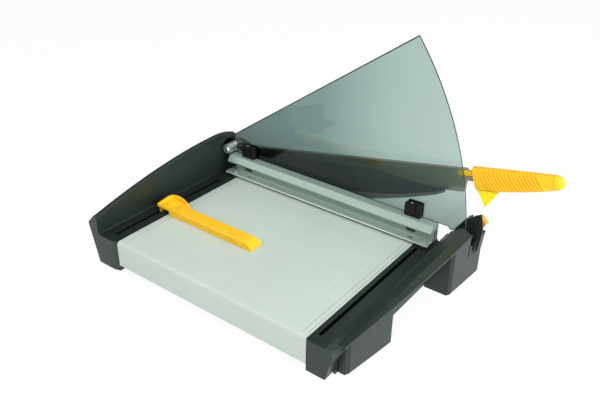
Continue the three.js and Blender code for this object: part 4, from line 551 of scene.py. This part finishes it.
# Printed scale at both ends of the bed, in millimetres from its corner: two fine lines with ticks
# between them. An end is given by its outer line and the way from there to the inner one.
SCALE_ENDS = ((4.0, 1), (376.0, -1))
SCALE_LEFT = 8.0
SCALE_RIGHT = 283.0
SCALE_DEPTH = 8.0
LINE_HALF = 0.3
TICK_STEP = 10.0
TICK_COUNT = 27
TICK_HALF = 0.15
LONG_TICK = 4.0
SHORT_TICK = 2.2
LONG_EVERY = 5
MARKS_X = (115.0, 189.0)
MARK_HALF = 4.0
MARK_Y = (33.8, 34.2)
INK_HEIGHT = 0.05
BOX_FACES = ((4, 5, 7, 6), (0, 1, 5, 4), (1, 3, 7, 5), (3, 2, 6, 7), (2, 0, 4, 6), (0, 2, 3, 1))


# A flat box of ink on the bed, whose corners count up by x, then y, then height
def strip(work, x0, x1, y0, y1):
    corners = [
        work.verts.new(place(x, y, z)) for z in (0.0, INK_HEIGHT) for y in (y0, y1) for x in (x0, x1)
    ]
    for face in BOX_FACES:
        work.faces.new([corners[i] for i in face])


def scale_end(work, outer, way):
    inner = outer + way * SCALE_DEPTH
    for y in (outer, inner):
        strip(work, SCALE_LEFT, SCALE_RIGHT, y - LINE_HALF, y + LINE_HALF)
    for count in range(1, TICK_COUNT + 1):
        x = SCALE_LEFT + count * TICK_STEP
        length = LONG_TICK if count % LONG_EVERY == 0 else SHORT_TICK
        tip = inner - way * length
        strip(work, x - TICK_HALF, x + TICK_HALF, min(inner, tip), max(inner, tip))


def bed_scale():
    work = bmesh.new()
    for outer, way in SCALE_ENDS:
        scale_end(work, outer, way)
    for x in MARKS_X:
        strip(work, x - MARK_HALF, x + MARK_HALF, *MARK_Y)
    piece = piece_from(work, "bed_scale", INK)
    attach(piece, "base")


bed_scale()

# Floor and backdrop. The floor glows by this share where it is seen, and keeps a faint shadow.
FLOOR_COLOR = (0.9, 0.9, 0.9)
FLOOR_ROUGHNESS = 0.8
FLOOR_SPECULAR = 0.1
FLOOR_WHITE_SHARE = 0.94
FLOOR_HALF = 30.0
FLOOR_DROP = 0.0002

# The world's strength as a light, and as gloss shows it from this height up
WORLD_LIGHT = 0.38
MIRRORED_OVERHEAD = 0.12
MIRRORED_HEIGHT = 0.14


def whiten(node, strength):
    node.inputs["Color"].default_value = WHITE
    node.inputs["Strength"].default_value = strength
    return node.outputs[0]


def floor_material():
    material, tree, shader = new_material(
        "studio_floor", FLOOR_COLOR, FLOOR_ROUGHNESS, specular=FLOOR_SPECULAR,
    )
    glow = whiten(tree.nodes.new("ShaderNodeEmission"), 1.0)
    rays = tree.nodes.new("ShaderNodeLightPath").outputs
    seen = larger_of(tree, rays["Is Camera Ray"], rays["Is Glossy Ray"])
    seen = larger_of(tree, seen, rays["Is Transmission Ray"])
    share = part_of(tree, seen, FLOOR_WHITE_SHARE)
    surface = mix_shaders(tree, share, shader.outputs["BSDF"], glow)
    tree.links.new(surface, tree.nodes["Material Output"].inputs["Surface"])
    return material


def make_floor():
    corners = [
        (x * FLOOR_HALF, y * FLOOR_HALF, 0.0) for x, y in ((-1, -1), (1, -1), (1, 1), (-1, 1))
    ]
    mesh = bpy.data.meshes.new("floor")
    mesh.from_pydata(corners, [], [range(len(corners))])
    mesh.materials.append(floor_material())
    floor = add_object("floor", mesh)
    floor.location.z = -FLOOR_DROP


# White where it is seen, dim as a light, and in gloss white only close above the horizon
def make_world():
    world = bpy.data.worlds.new("world")
    world.use_nodes = True
    scene.world = world
    tree = world.node_tree
    lit = whiten(tree.nodes["Background"], WORLD_LIGHT)
    shown = whiten(tree.nodes.new("ShaderNodeBackground"), 1.0)
    mirror = tree.nodes.new("ShaderNodeBackground")
    mirrored = whiten(mirror, 1.0)
    height = separate(tree, texture_place(tree, "Generated"))["Z"]
    fall = remap(tree, height, 1.0, MIRRORED_OVERHEAD, 0.0, MIRRORED_HEIGHT)
    tree.links.new(fall, mirror.inputs["Strength"])
    rays = tree.nodes.new("ShaderNodeLightPath").outputs
    seen = larger_of(tree, rays["Is Camera Ray"], rays["Is Transmission Ray"])
    unseen = mix_shaders(tree, rays["Is Glossy Ray"], lit, mirrored)
    surface = mix_shaders(tree, seen, unseen, shown)
    tree.links.new(surface, tree.nodes["World Output"].inputs["Surface"])


# Soft square lamps: name, place, the point aimed at, side in metres, power in watts
LAMPS = (
    ("key", (-1.1, -0.9, 1.9), (0.0, 0.0, 0.0), 1.4, 20.0),
    ("front", (-0.2, -2.2, 0.8), (0.0, 0.0, 0.05), 1.6, 47.0),
    ("rim", (-1.1, 1.3, 1.7), (0.0, 0.0, 0.1), 1.3, 13.0),
    ("side", (1.3, -0.5, 1.7), (0.0, 0.0, 0.05), 2.0, 9.0),
)


def area_light(name, spot, aim, size, power):
    data = bpy.data.lights.new(name, "AREA")
    data.shape = "SQUARE"
    data.size = size
    data.energy = power
    lamp = add_object(name, data)
    lamp.location = spot
    lamp.rotation_euler = (Vector(aim) - Vector(spot)).to_track_quat("-Z", "Y").to_euler()


make_floor()
make_world()
for lamp in LAMPS:
    area_light(*lamp)
